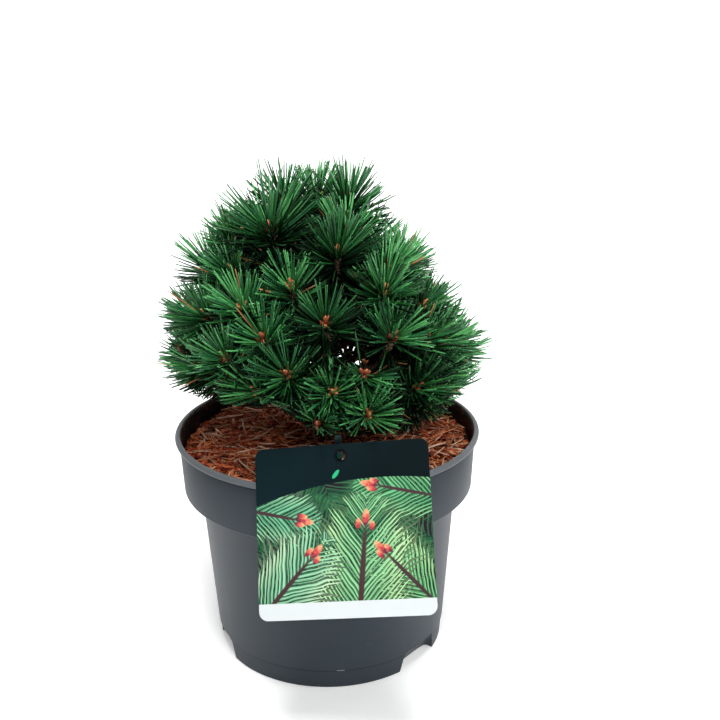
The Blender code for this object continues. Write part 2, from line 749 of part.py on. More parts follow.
def add_masses(material):
    ways, reaches, owners = shoot_rows()
    owners = np.array(owners)
    shoots, masses = [], []
    for mass in range(len(MASSES)):
        grown = mass_shoots(mass, ways, reaches, owners)
        shoots += grown
        masses += [mass] * len(grown)
    shapes = [shoot_shape(*shoot) for shoot in shoots]
    grow_needles(shoots, shapes, masses, np.array(ways), owners)
    for mass, name in enumerate(MASSES):
        own = [index for index in range(len(shoots)) if masses[index] == mass]
        pieces = [add_object(f"{name}_{index}", shapes[index][:2], material) for index in own]
        fuse(name, pieces)


# One union joins the shoots of a mass
def fuse(name, pieces):
    whole = pieces[0]
    whole.name = f"needles_{name}"
    whole.data.name = whole.name
    if len(pieces) == 1:
        return whole
    group = bpy.data.collections.new(f"shoots_{name}")
    bpy.context.scene.collection.children.link(group)
    for piece in pieces[1:]:
        bpy.context.scene.collection.objects.unlink(piece)
        group.objects.link(piece)
    modifier = whole.modifiers.new("Union of shoots", "BOOLEAN")
    modifier.operation = "UNION"
    modifier.operand_type = "COLLECTION"
    modifier.collection = group
    bpy.context.view_layer.objects.active = whole
    bpy.ops.object.modifier_apply(modifier=modifier.name)
    for piece in list(group.objects):
        bpy.data.objects.remove(piece)
    bpy.data.collections.remove(group)
    return whole


def build():
    for old in list(bpy.data.objects):
        bpy.data.objects.remove(old)
    bark = principled("bark", (0.19, 0.12, 0.075), 0.85)
    add_pot(principled("pot_plastic", (0.060, 0.066, 0.072), 0.45))
    add_fill(principled("bark_mix", (0.20, 0.075, 0.035), 0.95))
    add_card(principled("card_plastic", (0.10, 0.22, 0.17), 0.35))
    add_stake(principled("stake_plastic", (0.012, 0.050, 0.035), 0.40))
    add_boughs(bark, add_trunk(bark))
    add_masses(principled("pine_needles", (0.030, 0.125, 0.050), 0.50))


build()
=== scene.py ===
import math

import bpy
import numpy as np
from mathutils import Matrix, Vector, noise


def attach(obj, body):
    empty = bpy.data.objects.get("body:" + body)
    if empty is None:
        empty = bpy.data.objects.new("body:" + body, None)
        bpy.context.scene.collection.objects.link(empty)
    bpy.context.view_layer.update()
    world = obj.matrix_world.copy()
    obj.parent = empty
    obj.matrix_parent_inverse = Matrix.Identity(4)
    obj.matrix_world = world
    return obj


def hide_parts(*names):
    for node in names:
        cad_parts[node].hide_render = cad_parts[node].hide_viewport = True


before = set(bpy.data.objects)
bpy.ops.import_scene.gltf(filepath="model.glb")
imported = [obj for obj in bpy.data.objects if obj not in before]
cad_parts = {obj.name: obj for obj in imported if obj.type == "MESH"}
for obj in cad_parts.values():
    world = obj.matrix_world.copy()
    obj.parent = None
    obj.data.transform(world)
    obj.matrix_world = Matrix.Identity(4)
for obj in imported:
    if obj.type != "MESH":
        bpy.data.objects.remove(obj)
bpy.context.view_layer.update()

# A dwarf mountain pine in its nursery pot, with a label card. Sizes are in metres.


def deselectAll():
    if bpy.context.mode != "OBJECT":
        bpy.ops.object.mode_set(mode="OBJECT")
    bpy.ops.object.select_all(action="DESELECT")


def newPiece(name):
    piece = bpy.context.object
    piece.name = name
    piece.data.name = name
    return piece


def makeActive(piece):
    deselectAll()
    piece.select_set(True)
    bpy.context.view_layer.objects.active = piece


def applyPlace(piece):
    makeActive(piece)
    bpy.ops.object.transform_apply(location=True, rotation=True, scale=True)


def applyModifier(piece, kind, **settings):
    makeActive(piece)
    modifier = piece.modifiers.new(kind.title(), kind)
    for key, value in settings.items():
        setattr(modifier, key, value)
    bpy.ops.object.modifier_apply(modifier=modifier.name)


# Cuts another shape away from a piece, or joins it on
def booleanWith(piece, other, operation="DIFFERENCE"):
    applyModifier(piece, "BOOLEAN", operation=operation, object=other)
    bpy.data.objects.remove(other)


def shadeByAngle(piece, degrees):
    makeActive(piece)
    bpy.ops.object.shade_smooth_by_angle(angle=math.radians(degrees))


def recalculateNormals(piece):
    makeActive(piece)
    bpy.ops.object.mode_set(mode="EDIT")
    bpy.ops.mesh.select_all(action="SELECT")
    bpy.ops.mesh.normals_make_consistent(inside=False)
    bpy.ops.object.mode_set(mode="OBJECT")


# Selects in edge mode the edges whose two ends pass a test, and leaves the piece in edit mode
def selectEdges(piece, test):
    makeActive(piece)
    bpy.ops.object.mode_set(mode="EDIT")
    bpy.ops.mesh.select_mode(type="EDGE")
    bpy.ops.mesh.select_all(action="DESELECT")
    bpy.ops.object.mode_set(mode="OBJECT")
    points = piece.data.vertices
    for edge in piece.data.edges:
        edge.select = bool(test(points[edge.vertices[0]].co, points[edge.vertices[1]].co))
    bpy.ops.object.mode_set(mode="EDIT")


def bevelEdges(piece, test, offset, segments):
    selectEdges(piece, test)
    bpy.ops.mesh.bevel(offset=offset, segments=segments, affect="EDGES")
    bpy.ops.object.mode_set(mode="OBJECT")


def finishPiece(piece, material, slotName, *nodes):
    piece.data.materials.clear()
    for one in material if isinstance(material, list) else [material]:
        piece.data.materials.append(one)
    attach(piece, "root")
    if nodes:
        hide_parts(*nodes)
    return piece


# A round body: one circle, extruded and resized from each point of its profile to the next
def turnedBody(name, profile, segments):
    deselectAll()
    radius, z = profile[0]
    bpy.ops.mesh.primitive_circle_add(vertices=segments, radius=radius, fill_type="NGON", location=(0, 0, z))
    body = newPiece(name)
    bpy.ops.object.mode_set(mode="EDIT")
    bpy.ops.mesh.select_all(action="SELECT")
    for (r0, z0), (r1, z1) in zip(profile, profile[1:]):
        bpy.ops.mesh.extrude_region_move(TRANSFORM_OT_translate={"value": (0, 0, z1 - z0)})
        bpy.ops.transform.resize(value=(r1 / r0, r1 / r0, 1), center_override=(0, 0, z1))
    bpy.ops.mesh.select_all(action="SELECT")
    bpy.ops.mesh.normals_make_consistent(inside=False)
    bpy.ops.object.mode_set(mode="OBJECT")
    applyPlace(body)
    return body


# Points on an arc of a profile, from one angle to another
def profileArc(radius, z, size, fromDegrees, toDegrees, steps):
    points = []
    for k in range(steps + 1):
        a = math.radians(fromDegrees + (toDegrees - fromDegrees) * k / steps)
        points.append((radius + size * math.cos(a), z + size * math.sin(a)))
    return points


# Joined meshes of many small shapes come from arrays of points and triangles
def arrayPiece(name, points, triangles):
    mesh = bpy.data.meshes.new(name)
    mesh.vertices.add(len(points))
    mesh.vertices.foreach_set("co", np.asarray(points, np.float32).ravel())
    mesh.loops.add(3 * len(triangles))
    mesh.loops.foreach_set("vertex_index", np.asarray(triangles, np.int32).ravel())
    mesh.polygons.add(len(triangles))
    mesh.polygons.foreach_set("loop_start", np.arange(0, 3 * len(triangles), 3, dtype=np.int32))
    mesh.update(calc_edges=True)
    mesh.shade_smooth()
    piece = bpy.data.objects.new(name, mesh)
    bpy.context.scene.collection.objects.link(piece)
    return piece


def unit(rows):
    return rows / np.maximum(np.linalg.norm(rows, axis=-1, keepdims=True), 1e-12)


# The direction square to an axis at an angle about it
def aside(axis, angle):
    across = axis.orthogonal().normalized()
    return across * math.cos(angle) + axis.cross(across) * math.sin(angle)


def newMaterial(name, colour, roughness, **sockets):
    material = bpy.data.materials.new(name)
    material.use_nodes = True
    shader = material.node_tree.nodes["Principled BSDF"]
    shader.inputs["Base Color"].default_value = (*colour, 1.0)
    shader.inputs["Roughness"].default_value = roughness
    for key, value in sockets.items():
        shader.inputs[key.replace("_", " ")].default_value = value
    return material, shader


# A node or a socket knows its tree as its id_data
def setFrom(node, key, socket):
    node.id_data.links.new(socket, node.inputs[key])


def addNode(beside, kind, links=None, **values):
    node = beside.id_data.nodes.new(kind)
    for key, value in values.items():
        if key in node.inputs:
            node.inputs[key].default_value = value
        else:
            setattr(node, key, value)
    for key, socket in (links or {}).items():
        setFrom(node, key, socket)
    return node


# Numbers and colours are set on a new node's sockets, and other sockets are joined to them
def fillSockets(node, values):
    for key, value in values.items():
        if isinstance(value, (int, float)):
            node.inputs[key].default_value = value
        elif isinstance(value, tuple):
            node.inputs[key].default_value = (*value, 1.0)
        else:
            setFrom(node, key, value)


def firstSocket(*values):
    return next(value for value in values if isinstance(value, bpy.types.NodeSocket))


def objectPlace(shader, scale=(1, 1, 1)):
    coordinates = addNode(shader, "ShaderNodeTexCoord").outputs["Object"]
    return addNode(shader, "ShaderNodeMapping", {"Vector": coordinates}, Scale=scale).outputs["Vector"]


def noiseOf(place, scale, detail, roughness=0.55):
    values = {"Scale": scale, "Detail": detail, "Roughness": roughness}
    return addNode(place, "ShaderNodeTexNoise", {"Vector": place}, **values).outputs["Fac"]


def cellsOf(place, scale, feature="F1"):
    cells = addNode(place, "ShaderNodeTexVoronoi", {"Vector": place}, feature=feature, Scale=scale)
    return cells.outputs["Distance"]


def lengthOf(vector):
    return addNode(vector, "ShaderNodeVectorMath", {0: vector}, operation="LENGTH").outputs["Value"]


def rampOf(value, *stops):
    ramp = addNode(value, "ShaderNodeValToRGB", {"Fac": value})
    elements = ramp.color_ramp.elements
    while len(elements) < len(stops):
        elements.new(0.5)
    for element, (position, colour) in zip(elements, stops):
        element.position = position
        element.color = (*colour, 1.0)
    return ramp.outputs["Color"]


def spread(value, low, high, fromLow=0.0, fromHigh=1.0):
    mapped = addNode(value, "ShaderNodeMapRange", {"Value": value})
    for socket, limit in zip(("To Min", "To Max", "From Min", "From Max"), (low, high, fromLow, fromHigh)):
        mapped.inputs[socket].default_value = limit
    return mapped.outputs["Result"]


def calculate(operation, first, second=0.0, clamp=False):
    node = addNode(firstSocket(first, second), "ShaderNodeMath", operation=operation, use_clamp=clamp)
    fillSockets(node, {0: first, 1: second})
    return node.outputs[0]


def times(first, second, clamp=False):
    return calculate("MULTIPLY", first, second, clamp)


def plus(first, second, clamp=False):
    return calculate("ADD", first, second, clamp)


def minus(first, second):
    return calculate("SUBTRACT", first, second)


# Nothing below an edge and one above it, over a short ramp
def stepAt(value, edge, steepness):
    return times(minus(value, edge), steepness, True)


# One where a value is within a half width of a level
def band(value, level, half):
    return calculate("LESS_THAN", calculate("ABSOLUTE", minus(value, level)), half)


# One on the spots where a noise is over a level
def specks(place, scale, detail, level):
    return calculate("GREATER_THAN", noiseOf(place, scale, detail), level)


def mixColour(share, first, second):
    node = addNode(firstSocket(share, first, second), "ShaderNodeMix", data_type="RGBA")
    fillSockets(node, {0: share, 6: first, 7: second})
    return node.outputs[2]


def addBump(shader, height, distance, strength=1.0):
    bump = addNode(shader, "ShaderNodeBump", {"Height": height}, Strength=strength, Distance=distance)
    setFrom(shader, "Normal", bump.outputs["Normal"])


# A fine grain that gives both the roughness and the relief
def addGrain(shader, grain, low, high, distance, strength):
    setFrom(shader, "Roughness", spread(grain, low, high))
    addBump(shader, grain, distance, strength)


def plainPlastic(name, colour, gloss, scale, low, high, distance):
    material, shader = newMaterial(name, colour, (low + high) / 2, Specular_IOR_Level=gloss)
    addGrain(shader, noiseOf(objectPlace(shader), scale, 3.0), low, high, distance, 0.5)
    return material


# The camera stands where the photo's camera stood

cameraSettings = {
    "place": (0.025, -0.742, 0.471),
    "downwards": 18.54,
    "roll": -0.55,
    "lens": 52.95,
}


def placeCamera(s):
    deselectAll()
    turn = (math.radians(90 - s["downwards"]), 0, 0)
    bpy.ops.object.camera_add(location=s["place"], rotation=turn)
    camera = bpy.context.object
    camera.rotation_euler.rotate_axis("Z", math.radians(s["roll"]))
    camera.data.lens = s["lens"]
    camera.data.sensor_width = 36.0
    bpy.context.scene.camera = camera
    print("camera placed")


placeCamera(cameraSettings)


# The pot

potSettings = {
    "height": 0.1712,
    "wall": 0.0016,
    "rimRadius": 0.1137,
    "rimDrop": 0.0045,
    "collarTop": 0.1110,
    "collarFoot": 0.1089,
    "collarFootZ": 0.1300,
    "stepDrop": 0.0035,
    "bodyTop": 0.0967,
    "bodyFoot": 0.0886,
    "bandZ": 0.0150,
    "bandStep": 0.0007,
    "footRadius": 0.0868,
    "footRing": 0.0790,
    "boss": 0.0180,
    "floorLift": 0.0026,
    "floorThickness": 0.0024,
    "round": 0.0010,
    "segments": 192,
    "recessAzimuths": (51, 171, 291),
    "recessHeight": 0.0170,
    "recessHalfWidth": 0.0210,
    "recessTopHalfWidth": 0.0165,
    "recessFootReach": 0.0765,
    "recessTopReach": 0.0858,
    "recessRound": 0.0028,
    "drainRadius": 0.0050,
    "drainCircle": 0.0520,
    "drainCount": 6,
    "paintedRimLightAbove": 0.1664,
    "soiledAndShadedAbove": 0.1500,
}


def facing(azimuth, elevation=0.0):
    a, e = math.radians(azimuth), math.radians(elevation)
    return Vector((math.sin(a) * math.cos(e), -math.cos(a) * math.cos(e), math.sin(e)))


# Outside: the foot ring, the foot band with its crease, the body, the collar's rounded step and the bead
def potOutside(s):
    r, low = s["round"], s["height"] - s["rimDrop"]
    bead = s["rimDrop"] / 2
    stepMiddle = s["collarFoot"] - 2.0 * r
    profile = [(s["boss"], 0.0), (s["boss"] + r, s["floorLift"]), (s["footRing"] - r, s["floorLift"])]
    profile += [(s["footRing"], 0.0), (s["footRadius"] - r, 0.0)]
    profile += profileArc(s["footRadius"] - r, r, r, -60, 0, 3)
    profile += [
        (s["bodyFoot"] - s["bandStep"], s["bandZ"] - 0.0004),
        (s["bodyFoot"] - 0.2 * s["bandStep"], s["bandZ"]),
        (s["bodyFoot"], s["bandZ"] + 0.0006),
        (s["bodyTop"] - 0.0002, s["collarFootZ"] - s["stepDrop"] - 0.0012),
        (s["bodyTop"] + 0.0006, s["collarFootZ"] - s["stepDrop"]),
        (stepMiddle - 0.5 * r, s["collarFootZ"] - 0.7 * s["stepDrop"]),
    ]
    profile += profileArc(s["collarFoot"] - 1.6 * r, s["collarFootZ"] - 0.5 * r, 1.6 * r, -70, 0, 5)
    profile += [(s["collarTop"] - 0.0004, low - 0.0022), (s["collarTop"] - 0.0009, low - 0.0012)]
    profile += [(s["collarTop"] - 0.0003, low - 0.0004)]
    profile += profileArc(s["rimRadius"] - bead, s["height"] - bead, bead, -75, 90, 9)
    return profile


def potInside(s):
    bottom, above = s["floorLift"] + s["floorThickness"], s["height"] + 2 * s["rimDrop"]
    edge = s["collarTop"] - s["wall"]
    return [
        (s["footRadius"] - s["wall"], bottom),
        (s["bodyTop"] - s["wall"], s["collarFootZ"] - s["stepDrop"] + s["wall"]),
        (s["collarFoot"] - 2 * s["wall"], s["collarFootZ"] + s["wall"]),
        (edge, s["height"] - s["rimDrop"]),
        (edge + 0.0001, s["height"] - 0.0012),
        (edge + 0.0007, s["height"] - 0.0003),
        (edge + 0.0020, s["height"] + 0.0004),
        (edge + 0.0020, above),
    ]


# A foot recess: a block with a sloping inner face and rounded corners
def recessCutter(s, azimuth, grow):
    beyond = s["footRadius"] + s["recessHalfWidth"]
    deselectAll()
    bpy.ops.mesh.primitive_cube_add(size=1.0, location=(0, 0, 0))
    block = newPiece("recess")
    out, side = facing(azimuth), facing(azimuth + 90)
    for vertex in block.data.vertices:
        isTop, isFar = vertex.co.z > 0, vertex.co.x > 0
        near = s["recessTopReach"] if isTop else s["recessFootReach"]
        half = (s["recessTopHalfWidth"] if isTop else s["recessHalfWidth"]) + grow
        z = s["recessHeight"] + grow if isTop else -s["round"] - grow
        sign = 1 if vertex.co.y > 0 else -1
        vertex.co = out * (beyond if isFar else near - grow) + side * half * sign + Vector((0, 0, z))
    recalculateNormals(block)

    def isRounded(a, b):
        return min(a.z, b.z) > 0 or (a.z * b.z < 0 and (a + b).dot(out) < 2 * s["footRadius"])

    bevelEdges(block, isRounded, s["recessRound"], 4)
    return block


def potMaterial(s):
    grey = (0.027, 0.036, 0.047)
    material, shader = newMaterial("pot_moulded_plastic", grey, 0.42, Specular_IOR_Level=0.14)
    place = objectPlace(shader)
    height = addNode(place, "ShaderNodeSeparateXYZ", {"Vector": place}).outputs["Z"]
    cloud = noiseOf(place, 9.0, 3.0)
    base = rampOf(cloud, (0.30, (0.0275, 0.0355, 0.0445)), (0.70, (0.0325, 0.0425, 0.0530)))
    # The rolled rim is painted paler than the wall: a painted highlight where the light falls on its top
    base = mixColour(stepAt(height, s["paintedRimLightAbove"], 900.0), base, (0.082, 0.090, 0.098))
    # Painted shade darkens the crease over the foot band
    creaseShade = band(height, s["bandZ"] - 0.0003, 0.0005)
    base = mixColour(times(creaseShade, 0.75), base, (0.007, 0.009, 0.011))
    # A few pale scuffs along the crease, partly a painted highlight on its upper edge, and faint specks of
    # dust
    scuffsAndEdgeHighlight = times(specks(place, 30.0, 1.0, 0.63), specks(place, 110.0, 0.0, 0.60))
    scuffsAndEdgeHighlight = times(scuffsAndEdgeHighlight, band(height, s["bandZ"] + 0.0002, 0.0004))
    dust = times(specks(place, 260.0, 1.0, 0.80), 0.3)
    marks = calculate("MAXIMUM", scuffsAndEdgeHighlight, dust, True)
    colour = mixColour(times(marks, 0.7), base, (0.34, 0.35, 0.36))
    # The inner wall above the mix is darkened: soil crumbs stuck on it, and painted shade over the whole band
    radius = lengthOf(objectPlace(shader, (1, 1, 0)))
    slope = (s["collarTop"] - s["collarFoot"]) / (s["height"] - s["collarFootZ"])
    upright = minus(radius, times(height, slope))
    wallMiddle = s["collarFoot"] - s["collarFootZ"] * slope - 0.5 * s["wall"]
    inside = calculate("LESS_THAN", upright, wallMiddle)
    high = calculate("GREATER_THAN", height, s["soiledAndShadedAbove"])
    crumbs = noiseOf(place, 240.0, 5.0, 0.7)
    dampAndShade, crust, clod = (0.006, 0.005, 0.005), (0.014, 0.008, 0.006), (0.110, 0.034, 0.017)
    wallSoilAndShade = rampOf(crumbs, (0.40, dampAndShade), (0.54, crust), (0.62, clod))
    colour = mixColour(times(inside, high), colour, wallSoilAndShade)
    setFrom(shader, "Base Color", colour)
    setFrom(shader, "Roughness", spread(cloud, 0.38, 0.52))
    addBump(shader, noiseOf(place, 900.0, 2.0), 0.00005, 0.5)
    return material


def makePot(s):
    pot = turnedBody("pot_shell", potOutside(s), s["segments"])
    hollow = turnedBody("pot_hollow", potInside(s), s["segments"])
    for azimuth in s["recessAzimuths"]:
        booleanWith(pot, recessCutter(s, azimuth, 0.0))
        booleanWith(hollow, recessCutter(s, azimuth, s["wall"]))
    booleanWith(pot, hollow)
    for number in range(s["drainCount"]):
        place = facing(360 / s["drainCount"] * number + 0.5 * 180 / s["segments"]) * s["drainCircle"]
        deselectAll()
        bpy.ops.mesh.primitive_cylinder_add(vertices=32, radius=s["drainRadius"], depth=0.02, location=place)
        booleanWith(pot, newPiece("drain"))
    shadeByAngle(pot, 32)
    finishPiece(pot, potMaterial(s), "pot", "pot")
    print("pot turned, cut and finished:", len(pot.data.polygons), "faces")


makePot(potSettings)


# The potting mix: a lumpy mound with bark shreds, fibres, straw and fallen needles on it

mixSettings = {
    "edgeZ": 0.1560,
    "centreZ": 0.1625,
    "flatRadius": 0.0180,
    "plugRadius": 0.0660,
    "shelfZ": 0.0265,
    "sideGap": 0.0008,
    "segments": 120,
    "rings": 44,
    "lump": 0.0016,
}

# What lies on it, from the first kind to the last. Each tone has its deep and light colour, its share of
# the count and how high it is heaped
litterSettings = {
    "shreds": {
        "count": 6400,
        "lengths": (0.004, 0.017),
        "widths": (0.0007, 0.0025),
        "grain": 260.0,
        "tones": {
            "umber": ((0.006, 0.002, 0.001), (0.070, 0.014, 0.007), 0.30, 0.0016),
            "russet": ((0.150, 0.022, 0.008), (0.56, 0.086, 0.030), 0.32, 0.0026),
            "rust": ((0.34, 0.062, 0.020), (0.84, 0.185, 0.062), 0.27, 0.0036),
            "tan": ((0.50, 0.170, 0.075), (0.95, 0.47, 0.25), 0.11, 0.0042),
        },
    },
    "chips": {
        "count": 170,
        "lengths": (0.006, 0.017),
        "widths": (0.0028, 0.0062),
        "grain": 190.0,
        "tones": {"orange": ((0.42, 0.080, 0.024), (0.92, 0.30, 0.115), 1.0, 0.0040)},
    },
    "fibres": {
        "count": 2300,
        "lengths": (0.006, 0.022),
        "width": 0.00055,
        "tilt": 0.12,
        "shape": ((0, 0.35, 0.7), (1, 1, 0.8), 0.75),
        "grain": 300.0,
        "tones": {
            "brown": ((0.12, 0.024, 0.011), (0.40, 0.085, 0.034), 0.72, 0.0030),
            "sandy": ((0.38, 0.140, 0.075), (0.76, 0.39, 0.23), 0.28, 0.0030),
        },
    },
    "straws": {
        "count": 560,
        "lengths": (0.010, 0.032),
        "width": 0.0014,
        "tilt": 0.16,
        "shape": ((0, 0.3, 0.6, 0.92), (0.9, 1, 1, 0.7), 0.5),
        "grain": 240.0,
        "roughness": 0.7,
        "tones": {
            "pale": ((0.64, 0.32, 0.20), (0.95, 0.68, 0.50), 0.45, 0.0046),
            "copper": ((0.46, 0.130, 0.048), (0.90, 0.38, 0.18), 0.55, 0.0046),
        },
    },
}

# How the flat and the thin litter lie: how far from the pot's axis their middles and ends reach, how
# high over the mound they start, and how they tilt and bend
litterLie = {
    "seed": 11,
    "flatMiddle": 0.1065,
    "flatEnd": 0.1074,
    "flatLift": 0.0006,
    "flatPitch": 0.26,
    "flatRoll": 0.5,
    "flatRise": 0.006,
    "flatThick": 0.0009,
    "thinMiddle": 0.104,
    "thinEnd": 0.107,
    "thinTop": 0.1765,
    "thinLift": 0.0012,
    "thinDip": 0.04,
    "thinBend": 0.16,
}


def mixHeight(radius):
    edge = potSettings["collarTop"] - potSettings["wall"]
    return mixSettings["edgeZ"] + (mixSettings["centreZ"] - mixSettings["edgeZ"]) * (1 - (radius / edge) ** 2)


def mixMaterial(name, dark, light, scale=160.0, roughness=0.88):
    material, shader = newMaterial(name, light, roughness, Specular_IOR_Level=0.15)
    place = objectPlace(shader)
    patches = noiseOf(place, scale, 5.0, 0.6)
    grain = noiseOf(place, 1400.0, 3.0)
    setFrom(shader, "Base Color", rampOf(patches, (0.32, dark), (0.68, light)))
    addGrain(shader, grain, roughness - 0.08, min(roughness + 0.1, 1.0), 0.0002, 0.8)
    return material


def makeMixBody(s):
    p = potSettings
    inset = p["wall"] + s["sideGap"]
    stepZ = p["collarFootZ"] + p["wall"]
    edge = p["collarTop"] - inset - p["round"]
    profile = [
        (s["plugRadius"], p["floorLift"] + p["floorThickness"] + 0.0003),
        (s["plugRadius"], s["shelfZ"]),
        (p["bodyFoot"] - inset, s["shelfZ"]),
        (p["bodyTop"] - inset - s["sideGap"], stepZ - p["stepDrop"]),
        (p["collarFoot"] - inset - 3 * p["round"], stepZ + p["round"]),
        (edge, s["edgeZ"]),
    ]
    for ring in range(1, s["rings"]):
        radius = edge * (1 - ring / s["rings"])
        profile.append((radius, mixHeight(max(radius, s["flatRadius"]))))
    body = turnedBody("mix_body", profile, s["segments"])
    for vertex in body.data.vertices:
        if vertex.co.z >= s["edgeZ"] - 1e-5 and vertex.co.xy.length > s["flatRadius"]:
            spot = Vector((vertex.co.x, vertex.co.y, 0.0))
            lump = noise.fractal(spot * 90, 0.8, 2.0, 4) + 0.5 * noise.fractal(spot * 420, 0.8, 2.0, 3)
            vertex.co.z += s["lump"] * lump
    shadeByAngle(body, 50)
    deep = mixMaterial("mix_deep", (0.006, 0.002, 0.001), (0.055, 0.017, 0.007))
    finishPiece(body, deep, "mix", "potting_mix")


def moundPoints(rng, count, reach):
    radius = reach * np.sqrt(rng.uniform(0.0, 1.0, count))
    angle = rng.uniform(0, 2 * math.pi, count)
    return np.stack([radius * np.cos(angle), radius * np.sin(angle), mixHeight(radius)], axis=1)


# Draws between two bounds, the most of them near the lower one
def drawnBetween(rng, bounds, power, count):
    return bounds[0] + (bounds[1] - bounds[0]) * rng.uniform(0, 1, count) ** power


def headings(yaw, pitch):
    return np.stack([np.cos(yaw) * np.cos(pitch), np.sin(yaw) * np.cos(pitch), np.sin(pitch)], axis=1)


# Flat shreds with ragged ends, lying this way and that over the mound
def shredArrays(rng, count, lengthRange, widthRange, lift):
    lie = litterLie
    middle = moundPoints(rng, count, lie["flatMiddle"])
    lengths = drawnBetween(rng, lengthRange, 2.2, count)
    widths = drawnBetween(rng, widthRange, 1.8, count)
    thick = np.minimum(widths * rng.uniform(0.15, 0.45, count), lie["flatThick"])
    yaw = rng.uniform(0, 2 * math.pi, count)
    pitch, roll = rng.normal(0, lie["flatPitch"], count), rng.normal(0, lie["flatRoll"], count)
    limit = np.arcsin(np.clip(lie["flatRise"] / lengths, 0, 1))
    along = headings(yaw, np.clip(pitch, -limit, limit))
    flat = unit(np.cross(along, [0.0, 0.0, 1.0]))
    over = np.cross(flat, along)
    side = flat * np.cos(roll)[:, None] + over * np.sin(roll)[:, None]
    over = np.cross(side, along)
    middle[:, 2] += lie["flatLift"] + lift * rng.uniform(0, 1, count) ** 1.5
    reach = np.hypot(middle[:, 0], middle[:, 1]) + lengths / 2
    middle[:, :2] *= np.clip(lie["flatEnd"] / np.maximum(reach, 1e-6), 0, 1)[:, None]
    points = []
    for end in (-1, 1):
        for across, up in ((-1, -1), (1, -1), (1, 1), (-1, 1)):
            ragged = rng.uniform(0.55, 1.0, count)
            narrow = rng.uniform(0.35, 1.0, count)
            point = middle + along * (end * lengths / 2 * ragged)[:, None]
            point = point + side * (across * widths / 2 * narrow)[:, None] + over * (up * thick / 2)[:, None]
            points.append(point)
    points = np.stack(points, axis=1)
    faces = [(0, 3, 2), (0, 2, 1), (4, 5, 6), (4, 6, 7)]
    for a, b in ((0, 1), (1, 2), (2, 3), (3, 0)):
        faces += [(a, b, b + 4), (a, b + 4, a + 4)]
    triangles = np.array(faces)[None] + 8 * np.arange(count)[:, None, None]
    return points.reshape(-1, 3), triangles.reshape(-1, 3)


# Thin bodies that bend a little: the rings lie at the given shares of the length, with a pointed tip
def sliverArrays(feet, ways, bends, lengths, widths, rolls, shares, fullness, flatness=0.75):
    points = []
    for share, full in zip(shares, fullness):
        centre = feet + ways * (lengths * share)[:, None] + bends * (lengths * share * share)[:, None]
        tangent = unit(ways + 2 * share * bends)
        side = unit(np.cross(tangent, rolls))
        other = np.cross(tangent, side)
        half = (widths * full / 2)[:, None]
        for degrees in (0, 120, 240):
            a = math.radians(degrees)
            points.append(centre + side * half * math.cos(a) + other * half * flatness * math.sin(a))
    points.append(feet + ways * lengths[:, None] + bends * lengths[:, None])
    points = np.stack(points, axis=1)
    faces = [(2, 1, 0)]
    for ring in range(len(shares) - 1):
        for k in range(3):
            a, b = 3 * ring + k, 3 * ring + (k + 1) % 3
            faces += [(a, b, b + 3), (a, b + 3, a + 3)]
    last, tip = 3 * (len(shares) - 1), 3 * len(shares)
    faces += [(last + k, last + (k + 1) % 3, tip) for k in range(3)]
    triangles = np.array(faces)[None] + (tip + 1) * np.arange(len(feet))[:, None, None]
    return points.reshape(-1, 3), triangles.reshape(-1, 3)


# The same for thin litter, which leaves out what would end too far out, too high or in the mound
def strewn(rng, count, lengthRange, width, lift, tilt):
    lie = litterLie
    feet = moundPoints(rng, count, lie["thinMiddle"])
    feet[:, 2] += lie["thinLift"] + lift * rng.uniform(0, 1, count)
    lengths = drawnBetween(rng, lengthRange, 1.6, count)
    yaw = rng.uniform(0, 2 * math.pi, count)
    ways = headings(yaw, np.abs(rng.normal(0, tilt, count)) - lie["thinDip"])
    bends = rng.normal(0, lie["thinBend"], (count, 3)) * [1.0, 1.0, 0.35]
    tips = feet + (ways + bends) * lengths[:, None]
    reach, z = np.hypot(tips[:, 0], tips[:, 1]), tips[:, 2]
    kept = (reach < lie["thinEnd"]) & (z < lie["thinTop"]) & (z > mixHeight(reach))
    widths = width * rng.uniform(0.6, 1.4, count)
    rolls = rng.normal(0, 1, (count, 3))
    return [values[kept] for values in (feet, ways, bends, lengths, widths, rolls)]


def makeLitter():
    rng = np.random.default_rng(litterLie["seed"])
    for kind, k in litterSettings.items():
        for tone, (dark, light, share, lift) in k["tones"].items():
            count, isFlat = int(k["count"] * share), "widths" in k
            if isFlat:
                arrays = shredArrays(rng, count, k["lengths"], k["widths"], lift)
            else:
                rows = strewn(rng, count, k["lengths"], k["width"], lift, k["tilt"])
                arrays = sliverArrays(*rows, *k["shape"])
            piece = arrayPiece(f"{kind}_{tone}", *arrays)
            if isFlat:
                piece.data.shade_flat()
            material = mixMaterial(f"{kind[:-1]}_{tone}", dark, light, k["grain"], k.get("roughness", 0.88))
            finishPiece(piece, material, "mix")
    print("potting mix filled and strewn")


makeMixBody(mixSettings)
makeLitter()


# The limbs: the trunk, one bough for each mass, then the shoots, by the same rule as the solids

growthSettings = {
    "fork": (0.0, 0.0, 0.1950),
    "trunkFlare": 0.0135,
    "trunkRadius": 0.0088,
    "flareRise": 0.0080,
    "trunkRings": 8,
    "boughShare": 0.46,
    "boughFoot": 0.0032,
    "boughTip": 0.0024,
    "boughRings": 6,
    "boughLowest": 0.1700,
    "boughHighest": 0.2420,
    "shiftStep": 0.0015,
    "shifts": 12,
    "boughGap": 0.0012,
    "shoots": 66,
    "seed": 5,
    "spiral": 900,
    "blend": 13.0,
    "jitter": 0.04,
    "lift": 0.36,
    "skirt": 12.0,
    "skirtTilt": 8.0,
    "skirtHigh": -50.0,
    "rootShare": 0.20,
    "coreLength": 0.0330,
    "budLength": 0.0065,
    "twigRadius": 0.0015,
}

